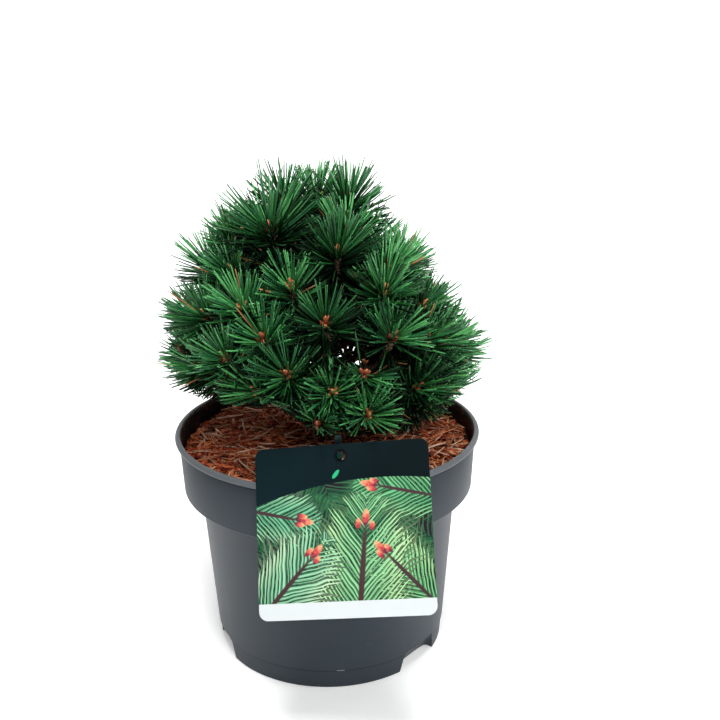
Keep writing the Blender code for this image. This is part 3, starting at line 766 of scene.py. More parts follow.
# Each mass's leading bud, seen from the fork: azimuth, elevation and distance
leadingBuds = {
    "top": (-114, 78, 0.153),
    "crest_left": (-57, 72, 0.143),
    "crest_front": (12, 67, 0.136),
    "crest_right": (55, 63, 0.124),
    "crest_back": (150, 60, 0.128),
    "crest_back_left": (-150, 54, 0.136),
    "left_shoulder": (-92, 62, 0.143),
    "left_side": (-65, 40, 0.121),
    "left_front": (-26, 39, 0.117),
    "front": (2, 45, 0.120),
    "right_front": (34, 39, 0.114),
    "right_shoulder": (68, 46, 0.112),
    "left_low": (-61, 23, 0.110),
    "front_low_left": (-28, 21, 0.106),
    "front_low": (4, 22, 0.103),
    "right_low": (44, 19, 0.102),
    "right_side": (84, 22, 0.106),
    "right_back": (112, 40, 0.110),
    "back_right": (128, 18, 0.110),
    "back": (168, 32, 0.112),
    "back_left": (-150, 20, 0.110),
    "left_back": (-97, 50, 0.133),
}

givenBuds = (
    (130, 81, 0.150),
    (-172, 75, 0.153),
    (106, 61, 0.119),
    (90, 39, 0.101),
    (88, 7, 0.094),
    (-92, 15, 0.102),
    (-88, 34, 0.119),
    (35, 53, 0.126),
    (-40, 47, 0.125),
    (-2, 10, 0.098),
    (19, 12, 0.098),
    (51, 8, 0.096),
)

fork = Vector(growthSettings["fork"])


def skirtAt(azimuth):
    g = growthSettings
    return g["skirt"] + g["skirtTilt"] * math.cos(math.radians(azimuth - g["skirtHigh"]))


# The leading buds, the given ones, then whichever point of a spiral is furthest from all of them
def shootRows():
    g = growthSettings
    rng = np.random.default_rng(g["seed"])
    given = [*leadingBuds.values(), *givenBuds]
    ways = [facing(a, e) for a, e, _ in given]
    reaches = [reach for _, _, reach in given]
    spiral = []
    for k in range(g["spiral"]):
        elevation = math.degrees(math.asin(1 - (k + 0.5) / g["spiral"]))
        azimuth = math.degrees(k * math.pi * (3 - math.sqrt(5))) % 360
        if elevation > skirtAt(azimuth):
            spiral.append(facing(azimuth, elevation))
    while len(ways) < g["shoots"]:
        way = min(spiral, key=lambda d: max(d.dot(w) for w in ways))
        ways.append(way)
        weights = [math.exp(-((way.angle(w) / math.radians(g["blend"])) ** 2)) for w in ways[: len(given)]]
        blend = sum(w * r for w, r in zip(weights, reaches)) / sum(weights)
        reaches.append(blend * (1 + g["jitter"] * rng.uniform(-1, 1)))
    leaders = ways[: len(leadingBuds)]
    owners = [max(range(len(leaders)), key=lambda m: way.dot(leaders[m])) for way in ways]
    return ways, reaches, owners


def budAxis(way):
    return (way + Vector((0, 0, growthSettings["lift"]))).normalized()


def boughEnd(way, reach):
    g = growthSettings
    coreFoot = fork + way * reach - budAxis(way) * (g["coreLength"] + g["budLength"])
    tip = fork + way * reach * g["boughShare"]
    return tip, (coreFoot - tip).normalized()


# A limb's points: it leaves its foot one way and comes to its tip another way
def limbPoints(foot, out, tip, along, count):
    third = (tip - foot).length / 3
    p1, p2 = foot + out * third, tip - along * third
    points = []
    for k in range(count):
        t = k / (count - 1)
        s = 1 - t
        points.append(foot * s**3 + p1 * 3 * s * s * t + p2 * 3 * s * t * t + tip * t**3)
    return points


def trunkPath(count):
    azimuth, elevation, reach = leadingBuds["top"]
    tip, along = boughEnd(facing(azimuth, elevation), reach)
    foot = Vector((0.0, 0.0, mixHeight(mixSettings["flatRadius"]) + 0.0003))
    return limbPoints(foot, Vector((0, 0, 1)), tip, along, count)


def trunkRadii(points):
    g = growthSettings
    radii = []
    for k, point in enumerate(points):
        flare = math.exp(-((point.z - points[0].z) / g["flareRise"]) ** 2)
        plain = g["trunkRadius"] + (g["boughTip"] - g["trunkRadius"]) * k / (len(points) - 1)
        radii.append(plain + (g["trunkFlare"] - g["trunkRadius"]) * flare)
    return radii


def trunkAt(z):
    points = trunkPath(growthSettings["trunkRings"])
    radii = trunkRadii(points)
    for k in range(len(points) - 1):
        if z <= points[k + 1].z:
            share = (z - points[k].z) / (points[k + 1].z - points[k].z)
            return points[k].lerp(points[k + 1], share), radii[k] + (radii[k + 1] - radii[k]) * share
    return points[-1], radii[-1]


def boughPath(azimuth, elevation, reach, shift, count):
    g = growthSettings
    tip, along = boughEnd(facing(azimuth, elevation), reach)
    height = g["boughLowest"] + (g["boughHighest"] - g["boughLowest"]) * elevation / 75 + shift
    foot, _ = trunkAt(height)
    out = (facing(azimuth) + facing(azimuth, elevation) * 0.6).normalized()
    return limbPoints(foot, out, tip, along, count)


def outsideTrunk(point):
    middle, radius = trunkAt(point.z)
    return (point - middle).length > radius


# Each bough leaves the trunk at the height nearest its own where it is clear of those before it
def boughPaths(count):
    g = growthSettings
    placed, taken = {}, []
    apart = 2 * g["boughFoot"] + g["boughGap"]
    for name, row in leadingBuds.items():
        if name == "top":
            continue
        best = -1.0
        for number in range(2 * g["shifts"] + 1):
            shift = g["shiftStep"] * ((number + 1) // 2) * (-1) ** number
            outside = [p for p in boughPath(*row, shift, 5 * g["boughRings"]) if outsideTrunk(p)]
            gap = min(((p - q).length for p in outside for q in taken), default=apart)
            if gap > best:
                best, chosen, kept = gap, shift, outside
            if best >= apart:
                break
        taken += kept
        placed[name] = boughPath(*row, chosen, count)
    return placed


# A limb drawn as a bevelled curve, made a mesh, and given the relief of scaly bark
barkSettings = {
    "plateSize": 0.0042,
    "plateDepth": 0.0011,
    "boughPlateSize": 0.0026,
    "boughPlateDepth": 0.0005,
    "trunkPoints": 90,
    "boughPoints": 60,
}


def drawnLimbs(name, paths, radiusRows, resolution):
    deselectAll()
    bpy.ops.curve.primitive_nurbs_path_add()
    limbs = newPiece(name)
    curve = limbs.data
    curve.splines.clear()
    curve.dimensions = "3D"
    for points, radii in zip(paths, radiusRows):
        spline = curve.splines.new("POLY")
        spline.points.add(len(points) - 1)
        for target, point, radius in zip(spline.points, points, radii):
            target.co = (*point, 1.0)
            target.radius = radius
    curve.bevel_depth = 1.0
    curve.bevel_resolution = resolution
    curve.use_fill_caps = True
    bpy.ops.object.convert(target="MESH")
    return bpy.context.object


def roughenBark(piece, size, depth):
    mesh = piece.data
    mesh.update()
    normals = [v.normal.copy() for v in mesh.vertices]
    for vertex, normal in zip(mesh.vertices, normals):
        spot = Vector((vertex.co.x, vertex.co.y, vertex.co.z * 0.55)) / size
        near, _ = noise.voronoi(spot)
        plate = min((near[1] - near[0]) * 2.2, 1.0)
        crumb = 0.5 * noise.fractal(spot * 3.0, 0.7, 2.0, 3)
        vertex.co += normal * depth * (plate - 0.6 + crumb)


def barkMaterial(name, deep, face, size):
    material, shader = newMaterial(name, face, 0.86)
    place = objectPlace(shader, (1, 1, 0.55))
    cells = cellsOf(place, 1 / size, "DISTANCE_TO_EDGE")
    height = plus(times(cells, 3.0, True), noiseOf(place, 700.0, 5.0, 0.65))
    colour = rampOf(times(height, 0.5), (0.20, deep), (0.85, face))
    setFrom(shader, "Base Color", colour)
    addBump(shader, height, 0.0006, 0.8)
    return material


def makeLimbs():
    g, b = growthSettings, barkSettings
    trunkPoints = trunkPath(b["trunkPoints"])
    trunk = drawnLimbs("trunk_bark", [trunkPoints], [trunkRadii(trunkPoints)], 11)
    roughenBark(trunk, b["plateSize"], b["plateDepth"])
    boughs, last = boughPaths(b["boughPoints"]), b["boughPoints"] - 1
    taper = [g["boughFoot"] + (g["boughTip"] - g["boughFoot"]) * k / last for k in range(last + 1)]
    limbs = drawnLimbs("bough_bark", list(boughs.values()), [taper] * len(boughs), 6)
    roughenBark(limbs, b["boughPlateSize"], b["boughPlateDepth"])
    bark = barkMaterial("bark_scaly", (0.018, 0.011, 0.007), (0.15, 0.095, 0.060), b["plateSize"])
    for piece, nodes in ((trunk, ["trunk"]), (limbs, [f"bough_{name}" for name in boughs])):
        shadeByAngle(piece, 70)
        finishPiece(piece, bark, "bark", *nodes)
    print("trunk and", len(boughs), "boughs grown")


makeLimbs()


# Shoots: every twig bends into a core that needles stand round, and ends in buds

sprigSettings = {
    "seed": 23,
    "sideShoots": (1, 3),
    "sideDrop": (0.014, 0.026),
    "sideOut": (0.010, 0.016),
    "sideCore": 0.018,
    "lowest": 0.245,
    "sideGirth": 0.75,
    "spray": 0.94,
}

# Sprays that are longer or shorter than the others, by name or by number
spraySizes = {
    "crest_left": 1.28,
    "top": 1.12,
    "crest_right": 1.02,
    "left_shoulder": 0.96,
    "right_low": 1.05,
    "front": 1.04,
    "left_low": 0.92,
    "right_back": 0.78,
    22: 1.06,
    24: 0.92,
    27: 0.86,
    61: 0.66,
}


# A shoot as a twig, a core and a bud: points of the twig, foot and tip of the core, way of the core
def shootPath(root, lead, way, reach, size):
    g = growthSettings
    axis = budAxis(way)
    coreFoot = fork + way * reach - axis * (g["coreLength"] + g["budLength"])
    twig = limbPoints(root, lead, coreFoot, axis, 8)
    core = g["coreLength"]
    return {"twig": twig, "foot": coreFoot, "axis": axis, "core": core, "leading": True, "size": size}


def leadingShoots():
    ways, reaches, owners = shootRows()
    shoots = []
    for mass, name in enumerate(leadingBuds):
        way, reach = ways[mass], reaches[mass]
        tip, along = boughEnd(way, reach)
        leader = shootPath(tip, along, way, reach, spraySizes.get(name, 1.0))
        shoots.append(leader)
        root = leader["twig"][0].lerp(leader["foot"], growthSettings["rootShare"])
        for index, owner in enumerate(owners):
            if owner == mass and index != mass:
                way, size = ways[index], spraySizes.get(index, sprigSettings["spray"])
                shoots.append(shootPath(root, (along + way).normalized(), way, reaches[index], size))
    return shoots


# Shorter shoots that leave each twig below its needles and lean out from it
def sideShoots(shoots, rng):
    s = sprigSettings
    grown = []
    for shoot in shoots:
        axis = shoot["axis"]
        start, total = rng.uniform(0, 2 * math.pi), int(rng.integers(*s["sideShoots"]))
        for number in range(total):
            out = aside(axis, start + 2 * math.pi * (number + 0.3 * rng.uniform(-1, 1)) / total)
            if out.z < 0.1 and shoot["foot"].z < s["lowest"]:
                out = out - axis.cross(axis.cross(Vector((0, 0, -1.4 * out.z))))
                out.normalize()
            drop, reach = rng.uniform(*s["sideDrop"]), rng.uniform(*s["sideOut"])
            bud = shoot["foot"] + axis * (shoot["core"] - drop) + out * reach
            lean = (axis + out * rng.uniform(0.5, 0.9) + Vector((0, 0, 0.15))).normalized()
            foot = bud - lean * s["sideCore"]
            root = shoot["twig"][4]
            twig = limbPoints(root, axis + out * 0.5, foot, lean, 6)
            side = {"twig": twig, "foot": foot, "axis": lean, "core": s["sideCore"], "leading": False}
            grown.append({**side, "size": shoot["size"]})
    return grown


# Tubes in one mesh: rings of points along each path, closed at both ends
def tubeArrays(paths, radiusRows, sides):
    points, triangles, offset = [], [], 0
    for path, radii in zip(paths, radiusRows):
        rows = np.array(path)
        tangents = unit(np.gradient(rows, axis=0))
        side = np.cross(tangents[0], [0.31, 0.95, 0.05])
        for k, (centre, tangent, radius) in enumerate(zip(rows, tangents, radii)):
            side = side - tangent * np.dot(side, tangent)
            side = side / np.linalg.norm(side)
            other = np.cross(tangent, side)
            angles = (2 * math.pi * np.arange(sides) / sides)[:, None]
            points.append(centre + radius * (np.cos(angles) * side + np.sin(angles) * other))
            if k:
                low = offset + (k - 1) * sides
                for i in range(sides):
                    n = (i + 1) % sides
                    a, b, c, d = low + i, low + n, low + sides + n, low + sides + i
                    triangles += [(a, b, c), (a, c, d)]
        last = offset + (len(rows) - 1) * sides
        for i in range(1, sides - 1):
            triangles += [(offset, offset + i + 1, offset + i), (last, last + i, last + i + 1)]
        offset = last + sides
    return np.concatenate(points), np.array(triangles)


# The stems of all shoots, with low cushions where needles stood
def makeTwigs(shoots):
    paths, radiusRows = [], []
    for shoot in shoots:
        end = shoot["foot"] + shoot["axis"] * shoot["core"]
        path = shoot["twig"] + [shoot["foot"].lerp(end, k / 12) for k in range(1, 13)]
        base = growthSettings["twigRadius"] * (1.0 if shoot["leading"] else sprigSettings["sideGirth"])
        radii = [base * (1.15 - 0.15 * k / len(path) + 0.14 * (k % 2)) for k in range(len(path))]
        radii[-1] *= 0.6
        paths.append(path)
        radiusRows.append(radii)
    piece = arrayPiece("twigs", *tubeArrays(paths, radiusRows, 7))
    finishPiece(piece, barkMaterial("twig_bark", (0.030, 0.016, 0.008), (0.21, 0.12, 0.060), 0.0016), "bark")
    print(len(paths), "twigs grown")


# Buds: a cluster at each tip, each a scaly pointed egg
budSettings = {
    "leadLength": 0.0088,
    "leadRadius": 0.0021,
    "sideLength": 0.0066,
    "sideRadius": 0.0018,
    "sideCount": (2, 5),
    "sideLean": 0.44,
    "smaller": 0.62,
    "rings": 10,
    "sides": 10,
}

# Deep, middle and pale colour of each tint
budTints = {
    "brick": ((0.06, 0.008, 0.004), (0.28, 0.042, 0.016), (0.52, 0.175, 0.080)),
    "amber": ((0.10, 0.018, 0.007), (0.38, 0.098, 0.028), (0.60, 0.29, 0.12)),
}


def budBody(foot, axis, length, radius, turn):
    b = budSettings
    points, triangles = [], []
    shares = [ring / b["rings"] for ring in range(b["rings"])]
    for ring, t in enumerate(shares):
        full = radius * math.sin(math.pi * min(0.14 + 0.86 * t, 1.0) ** 0.80) ** 0.62
        full = max(full, radius * 0.3) * (1.0 if ring % 2 else 0.84)
        for k in range(b["sides"]):
            a = 2 * math.pi * (k + 0.5 * ring) / b["sides"] + turn
            points.append(foot + axis * length * t + aside(axis, a) * full)
    points.append(foot + axis * length)
    n, last = b["sides"], (b["rings"] - 1) * b["sides"]
    for ring in range(b["rings"] - 1):
        for k in range(n):
            a, c = ring * n + k, ring * n + (k + 1) % n
            triangles += [(a, c, a + n), (c, c + n, a + n)]
    triangles += [(last + k, last + (k + 1) % n, len(points) - 1) for k in range(n)]
    triangles += [(0, k + 1, k) for k in range(1, n - 1)]
    return np.array(points), np.array(triangles), np.array([*np.repeat(shares, b["sides"]), 1.0])


def budMaterial(name, deep, face, tip):
    material, shader = newMaterial(name, face, 0.42, Specular_IOR_Level=0.35)
    place = objectPlace(shader)
    scales = cellsOf(place, 900.0)
    grain = times(noiseOf(place, 500.0, 3.0), 0.34)
    along = addNode(shader, "ShaderNodeAttribute", attribute_name="along").outputs["Fac"]
    share = plus(plus(grain, times(along, 0.52)), times(scales, 0.22))
    setFrom(shader, "Base Color", rampOf(share, (0.28, deep), (0.52, face), (0.86, tip)))
    addBump(shader, scales, 0.0004, 0.7)
    return material


def makeBuds(shoots, rng):
    b = budSettings
    groups = {tone: ([], [], []) for tone in budTints}
    for index, shoot in enumerate(shoots):
        points, triangles, shares = groups["brick" if index % 5 in (0, 1, 3) else "amber"]
        axis, leading = shoot["axis"], shoot["leading"]
        tip = shoot["foot"] + axis * (shoot["core"] - 0.0008)
        size = 1.0 if leading else b["smaller"]
        count = int(rng.integers(*b["sideCount"])) + 1 if leading else 1
        turn = rng.uniform(0, 2 * math.pi)
        rows = [(tip, axis, b["leadLength"] * size, b["leadRadius"] * size)]
        for k in range(count):
            out = aside(axis, turn + 2 * math.pi * k / count + rng.uniform(-0.3, 0.3))
            lean = (axis + out * b["sideLean"] * rng.uniform(0.7, 1.3)).normalized()
            length = b["sideLength"] * size * rng.uniform(0.8, 1.15)
            rows.append((tip - axis * 0.0010 + out * 0.0013 * size, lean, length, b["sideRadius"] * size))
        for foot, way, length, radius in rows:
            body, faces, along = budBody(foot, way, length, radius, rng.uniform(0, 1))
            triangles.append(faces + sum(len(p) for p in points))
            points.append(body)
            shares.append(along)
    for tone, (points, triangles, shares) in groups.items():
        piece = arrayPiece(f"buds_{tone}", np.concatenate(points), np.concatenate(triangles))
        along = piece.data.attributes.new("along", "FLOAT", "POINT")
        along.data.foreach_set("value", np.concatenate(shares).astype(np.float32))
        finishPiece(piece, budMaterial(f"bud_{tone}", *budTints[tone]), "bark")
    print("buds set")


# Needles in pairs, laid in a spiral round each core, wide at its foot and narrow at its tip

needleSettings = {
    "length": 0.0335,
    "width": 0.00150,
    "leaderPairs": 108,
    "sidePairs": 34,
    "oldPairs": 12,
    "bursts": (0.42, 0.88),
    "sideBurst": 0.8,
    "sideLength": 0.84,
    "oldLength": 0.9,
    "oldStretch": (-0.45, 0.3),
    "footAngle": 108.0,
    "tipAngle": 25.0,
    "angleSpread": 6,
    "fromAxis": 0.0010,
    "lengths": (0.84, 1.06),
    "bends": (0.0, 0.10),
    "crooked": 0.03,
    "parting": (0.07, 0.19),
    "widths": (0.85, 1.12),
    "shape": ((0, 0.36, 0.76, 0.95), (0.75, 1, 0.95, 0.66)),
    "tested": (0.1, 0.25, 0.4, 0.55, 0.7, 0.85, 1.0),
    "sheathLength": 0.0034,
    "sheathWidth": 0.00150,
    "sheathWidths": (0.9, 1.3),
    "sheathShape": ((0, 0.6), (1, 0.85), 1.0),
}

# Each tone has its colour, roughness and specular level. The greens are lit and shaded copies of the needle
# green, with some real spread of hue: painted shade in shade and deep, painted light in bright. Straw is dead
# needles
needleTones = {
    "shade": ((0.0006, 0.0038, 0.0013), 0.60, 0.10),
    "deep": ((0.0018, 0.0140, 0.0040), 0.50, 0.20),
    "forest": ((0.0042, 0.0320, 0.0080), 0.36, 0.45),
    "fresh": ((0.015, 0.104, 0.023), 0.29, 0.85),
    "bluish": ((0.019, 0.118, 0.042), 0.29, 0.90),
    "bright": ((0.075, 0.320, 0.092), 0.28, 1.00),
    "straw": ((0.40, 0.17, 0.070), 0.60, 0.25),
}

# A shoot's own tone is counted from shade up to bright. It rises with its height between two levels, and
# along it, and is lower on side shoots: painted light on high needles and spray tips, painted shade low in
# the sprays and on side shoots, over a random spread
dealSettings = {
    "levels": (0.20, 0.34),
    "byHeight": 0.8,
    "own": (1.5, 0.65),
    "onSides": -2.4,
    "along": 4.6,
    "spread": 1.05,
    "oldShade": 0.4,
    "dead": 0.008,
    "oldDead": 0.20,
}


def needleMaterial(tone, colour, roughness, gloss):
    material, shader = newMaterial(f"needle_{tone}", colour, roughness, Specular_IOR_Level=gloss)
    shader.inputs["Specular Tint"].default_value = (0.64, 1.0, 0.62, 1.0)
    place = objectPlace(shader)
    dark, light = (tuple(share * c for c in colour) for share in (0.78, 1.22))
    setFrom(shader, "Base Color", rampOf(noiseOf(place, 60.0, 2.0), (0.3, dark), (0.7, light)))
    stomata = noiseOf(place, 2400.0, 1.0)
    addGrain(shader, stomata, roughness - 0.06, roughness + 0.10, 0.00006, 0.4)
    return material


# Feet, ways, bends, lengths and shares of the core of as many pairs, between two shares of its length
def pairRows(shoot, rng, count, length, first, last):
    n = needleSettings
    axis = np.array(shoot["axis"])
    across = np.array(shoot["axis"].orthogonal().normalized())
    other = np.cross(axis, across)
    share = (np.arange(count) + rng.uniform(0, 1, count)) / count
    t = first + (last - first) * share
    turn = np.arange(count) * math.pi * (3 - math.sqrt(5)) + rng.uniform(-0.25, 0.25, count)
    out = np.cos(turn)[:, None] * across + np.sin(turn)[:, None] * other
    angle = n["footAngle"] + (n["tipAngle"] - n["footAngle"]) * share ** 1.1
    angle = np.radians(angle + rng.normal(0, n["angleSpread"], count))
    ways = axis * np.cos(angle)[:, None] + out * np.sin(angle)[:, None]
    feet = np.array(shoot["foot"]) + axis * (shoot["core"] * t)[:, None] + out * n["fromAxis"]
    lengths = length * rng.uniform(*n["lengths"], count) * (1 - 0.14 * (1 - share)) * (1 - 0.10 * share ** 3)
    bend = rng.uniform(*n["bends"], count)[:, None] * (axis + [0, 0, 0.5])
    bend += rng.normal(0, n["crooked"], (count, 3))
    rows = []
    for sign in (-1, 1):
        part = unit(np.cross(ways, rng.normal(0, 1, (count, 3)))) * rng.uniform(*n["parting"], count)[:, None]
        rows.append((feet, unit(ways + sign * part), bend, lengths * rng.uniform(0.95, 1.05, count), share))
    return [np.concatenate(parts) for parts in zip(*rows)]


# The crown's hem: no needle hangs below these heights over the pot's axis, which rise outwards
hemSettings = {
    "across": (-0.120, -0.106, -0.090, -0.060, -0.030, 0.0, 0.060, 0.089, 0.101, 0.115),
    "heights": (0.203, 0.198, 0.191, 0.184, 0.184, 0.1625, 0.1625, 0.1785, 0.199, 0.207),
    "frontRise": 0.40,
    "backRise": 0.15,
}


# Openings through the crown where the sky shows: lines from the camera, each through a spot with its
# radius. A small share of the needles that cross them is left
skySettings = {
    "left": 0.04,
    "openings": (
        ((0.0105, 0.0, 0.2315), 0.0050), ((0.0175, 0.0, 0.2320), 0.0042), ((0.0105, 0.0, 0.2240), 0.0040),
        ((0.0280, 0.0, 0.2185), 0.0050), ((0.0345, 0.0, 0.2160), 0.0042), ((0.0480, 0.0, 0.2320), 0.0030),
    ),
}


def clearOfSky(points):
    eye, clear = np.array(cameraSettings["place"]), True
    for spot, radius in skySettings["openings"]:
        offset, way = points - eye, unit(np.array(spot) - eye)
        away = np.linalg.norm(offset - (offset @ way)[..., None] * way, axis=-1)
        clear &= away > radius
    return np.all(clear, axis=-1)


# The needles keep off the mix, the rim, the card and the stake, and above the hem
needleGaps = {
    "mix": 0.0022,
    "mixReach": 0.109,
    "collar": 0.0012,
    "rim": 0.0010,
    "edge": 0.001,
    "card": 0.0022,
    "stakeFront": -0.092,
}


def clearOfPot(points):
    p, c, gap = potSettings, cardSettings, needleGaps
    x, y, z = points[..., 0], points[..., 1], points[..., 2]
    radius = np.hypot(x, y)
    clear = z > mixHeight(np.minimum(radius, gap["mixReach"])) + gap["mix"]
    clear &= (radius < p["collarTop"] - p["wall"] - gap["collar"]) | (z > p["height"] + gap["rim"])
    across, up, out = np.moveaxis(np.abs((points - np.array(c["centre"])) @ np.array(cardAxes(c))), -1, 0)
    overCard = (across < c["width"] / 2 + gap["edge"]) & (up < c["height"] / 2 + gap["edge"])
    clear &= ~(overCard & (out < gap["card"]))
    fromStake = np.abs(x - cardHole(c).x - c["stakeShift"])
    nearStake = (fromStake < c["stakeWidth"] / 2 + gap["edge"]) & (y < gap["stakeFront"])
    clear &= ~(nearStake & (z < c["stakeTop"] + gap["edge"]))
    hem = np.interp(x, hemSettings["across"], hemSettings["heights"])
    hem += hemSettings["frontRise"] * np.maximum(-y, 0) + hemSettings["backRise"] * np.maximum(y, 0)
    return np.all(clear & (z > hem), axis=-1)


# Needles or sheaths in one mesh, each with its own width and turn
def sliverPiece(name, rows, width, widest, shape, rng):
    count = len(rows[0])
    widths = width * rng.uniform(*widest, count)
    return arrayPiece(name, *sliverArrays(*rows, widths, rng.normal(0, 1, (count, 3)), *shape))


# The number of the tone that each of a shoot's needles gets
def dealtTones(shoot, rng, share):
    d, low, high = dealSettings, *dealSettings["levels"]
    height = shoot["foot"].z + shoot["axis"].z * shoot["core"]
    # Height and place along the shoot add painted light, and side shoots painted shade; the rest is random
    tone = np.clip((height - low) / (high - low), 0, 1) * d["byHeight"] + rng.normal(*d["own"])
    tone = tone + (0.0 if shoot["leading"] else d["onSides"]) + d["along"] * (share - 0.5)
    dealt = np.clip(np.round(tone + rng.normal(0, d["spread"], len(share))), 0, 5).astype(int)
    dealt[rng.uniform(0, 1, len(share)) < d["dead"]] = 6
    return dealt


def makeNeedles(shoots, rng):
    n, d = needleSettings, dealSettings
    names = list(needleTones)
    groups = {tone: [] for tone in names}
    sheaths = []
    for shoot in shoots:
        leading = shoot["leading"]
        count = n["leaderPairs"] if leading else n["sidePairs"]
        length = n["length"] * (1.0 if leading else n["sideLength"]) * rng.uniform(0.88, 1.06) * shoot["size"]
        burst = rng.uniform(*n["bursts"]) if leading else n["sideBurst"]
        *rows, share = pairRows(shoot, rng, count, length, 1 - burst, 1.0)
        dealt = dealtTones(shoot, rng, share)
        if leading:
            sheaths.append([values[:count] for values in rows])
        *older, _ = pairRows(shoot, rng, n["oldPairs"], length * n["oldLength"], *n["oldStretch"])
        # Old needles low in each shoot get painted shade, the shade or deep tone, and some are dead straw
        oldDealt = np.where(rng.uniform(0, 1, 2 * n["oldPairs"]) < d["oldShade"], 0, 1)
        oldDealt[rng.uniform(0, 1, 2 * n["oldPairs"]) < d["oldDead"]] = 6
        for parts, tones in ((rows, dealt), (older, oldDealt)):
            for index in np.unique(tones):
                groups[names[index]].append([values[tones == index] for values in parts])
    total = 0
    for tone, parts in groups.items():
        rows = [np.concatenate(part) for part in zip(*parts)]
        feet, ways, bends, lengths = *rows[:3], rows[3][:, None]
        samples = [feet + ways * (lengths * t) + bends * (lengths * t * t) for t in n["tested"]]
        samples = np.stack(samples, axis=1)
        left = rng.uniform(0, 1, len(feet)) < skySettings["left"]
        kept = clearOfPot(samples) & (clearOfSky(samples) | left)
        rows = [values[kept] for values in rows]
        piece = sliverPiece(f"needles_{tone}", rows, n["width"], n["widths"], n["shape"], rng)
        replaced = [f"needles_{name}" for name in leadingBuds] if tone == "deep" else []
        finishPiece(piece, needleMaterial(tone, *needleTones[tone]), "needles", *replaced)
        total += len(rows[0])
        print("needles", tone, len(rows[0]), "needles", len(piece.data.polygons), "triangles")
    print(total, "needles grown")
    feet, ways, bends, _ = (np.concatenate(part) for part in zip(*sheaths))
    lengths = n["sheathLength"] * rng.uniform(0.7, 1.2, len(feet))
    kept = clearOfPot(np.stack([feet, feet + ways * lengths[:, None]], axis=1))
    rows = [values[kept] for values in (feet, ways, bends, lengths)]
    piece = sliverPiece("needle_sheaths", rows, n["sheathWidth"], n["sheathWidths"], n["sheathShape"], rng)
    finishPiece(piece, mixMaterial("sheath", (0.060, 0.034, 0.020), (0.30, 0.22, 0.15), 700.0), "bark")


# The label card and its stake

cardSettings = {
    "width": 0.1159,
    "height": 0.1108,
    "thickness": 0.0006,
    "corner": 0.0060,
    "centre": (0.0134, -0.1318, 0.1515),
    "yaw": 13.9,
    "lean": 28.7,
    "roll": 8.9,
    "holeRadius": 0.0032,
    "holeDrop": 0.0076,
    "stakeWidth": 0.0044,
    "stakeThickness": 0.0018,
    "stakeTop": 0.2045,
    "stakeFoot": 0.1150,
    "stakeTopY": -0.1012,
    "stakeLean": 8.0,
    "stakeShift": -0.0016,
    "shankRadius": 0.0014,
    "buttonRadius": 0.0024,
    "buttonHead": 0.0010,
    "buttonGap": 0.0003,
}


# The card's own axes as columns: across it, up it and out of its face
def cardAxes(c):
    yaw, lean, roll = (math.radians(c[key]) for key in ("yaw", "lean", "roll"))
    across = Vector((math.cos(yaw), -math.sin(yaw), 0.0))
    inwards = Vector((math.sin(yaw), math.cos(yaw), 0.0))
    up = Vector((0, 0, math.cos(lean))) + inwards * math.sin(lean)
    xAxis = across * math.cos(roll) + up * math.sin(roll)
    yAxis = up * math.cos(roll) - across * math.sin(roll)
    return Matrix((xAxis, yAxis, xAxis.cross(yAxis))).transposed()


def cardMatrix(c):
    return Matrix.Translation(c["centre"]) @ cardAxes(c).to_4x4()


def cardHole(c, out=0.0):
    return cardMatrix(c) @ Vector((0.0, c["height"] / 2 - c["holeDrop"], out))


# Local coordinates of a motif on the card: along it from its foot, and across it, in its own length
def motifPlace(place, spot, degrees, length):
    turn = (0, 0, math.radians(degrees))
    mapping = addNode(
        place, "ShaderNodeMapping", {"Vector": place}, vector_type="TEXTURE",
        Location=(*spot, 0), Rotation=turn, Scale=(length, length, 1),
    )
    split = addNode(place, "ShaderNodeSeparateXYZ", {"Vector": mapping.outputs["Vector"]})
    return split.outputs["X"], split.outputs["Y"]


# One inside an ellipse, with a soft edge, and nothing outside it
def ellipseMask(along, across, middle, radii, soft=0.12):
    terms = []
    for value, centre, radius in zip((along, across), middle, radii):
        part = times(minus(value, centre), 1 / radius)
        terms.append(times(part, part))
    distance = calculate("SQRT", plus(*terms))
    return plus(times(minus(1.0, distance), 1 / soft), 0.5, True)


# A printed sprig: needles in stripes that slant off a twig, with pale tips
def printNeedles(colour, place, motif, slant, width, tint):
    p = printSettings
    along, across = motifPlace(place, *motif)
    side = calculate("ABSOLUTE", across)
    phase = minus(along, times(side, slant))
    phase = times(phase, 2 * math.pi * motif[2] / p["needlePitch"])
    phase = plus(phase, times(calculate("SIGN", across), 1.3))
    phase = plus(phase, times(noiseOf(place, 7.0, 1.0), 9.0))
    # A noise of the phase makes each needle's place, reach and tone its own
    own = addNode(phase, "ShaderNodeTexNoise", {"W": phase}, noise_dimensions="1D", Scale=0.31, Detail=2.0)
    own = minus(own.outputs["Fac"], 0.5)
    phase = plus(phase, times(own, 7.0))
    stripe = times(plus(calculate("SINE", phase), 1.0), 0.5)
    ragged = times(plus(stripe, times(own, 2.2)), 0.55 * width)
    reach = minus(side, minus(ragged, 0.4 * width))
    inside = ellipseMask(along, reach, (0.50, 0.0), (0.60, width), 0.05)
    *greens, tipGreen = (tuple(t * v for t, v in zip(tint, tone)) for tone in (*p["greens"], p["tips"]))
    needles = rampOf(plus(stripe, own), *zip((0.40, 0.68, 1.0), greens))
    tips = calculate("POWER", times(side, 1 / width), 3.0, True)
    needles = mixColour(times(tips, 0.8), needles, tipGreen)
    return mixColour(times(inside, stepAt(stripe, 0.46, 8.0)), colour, needles)


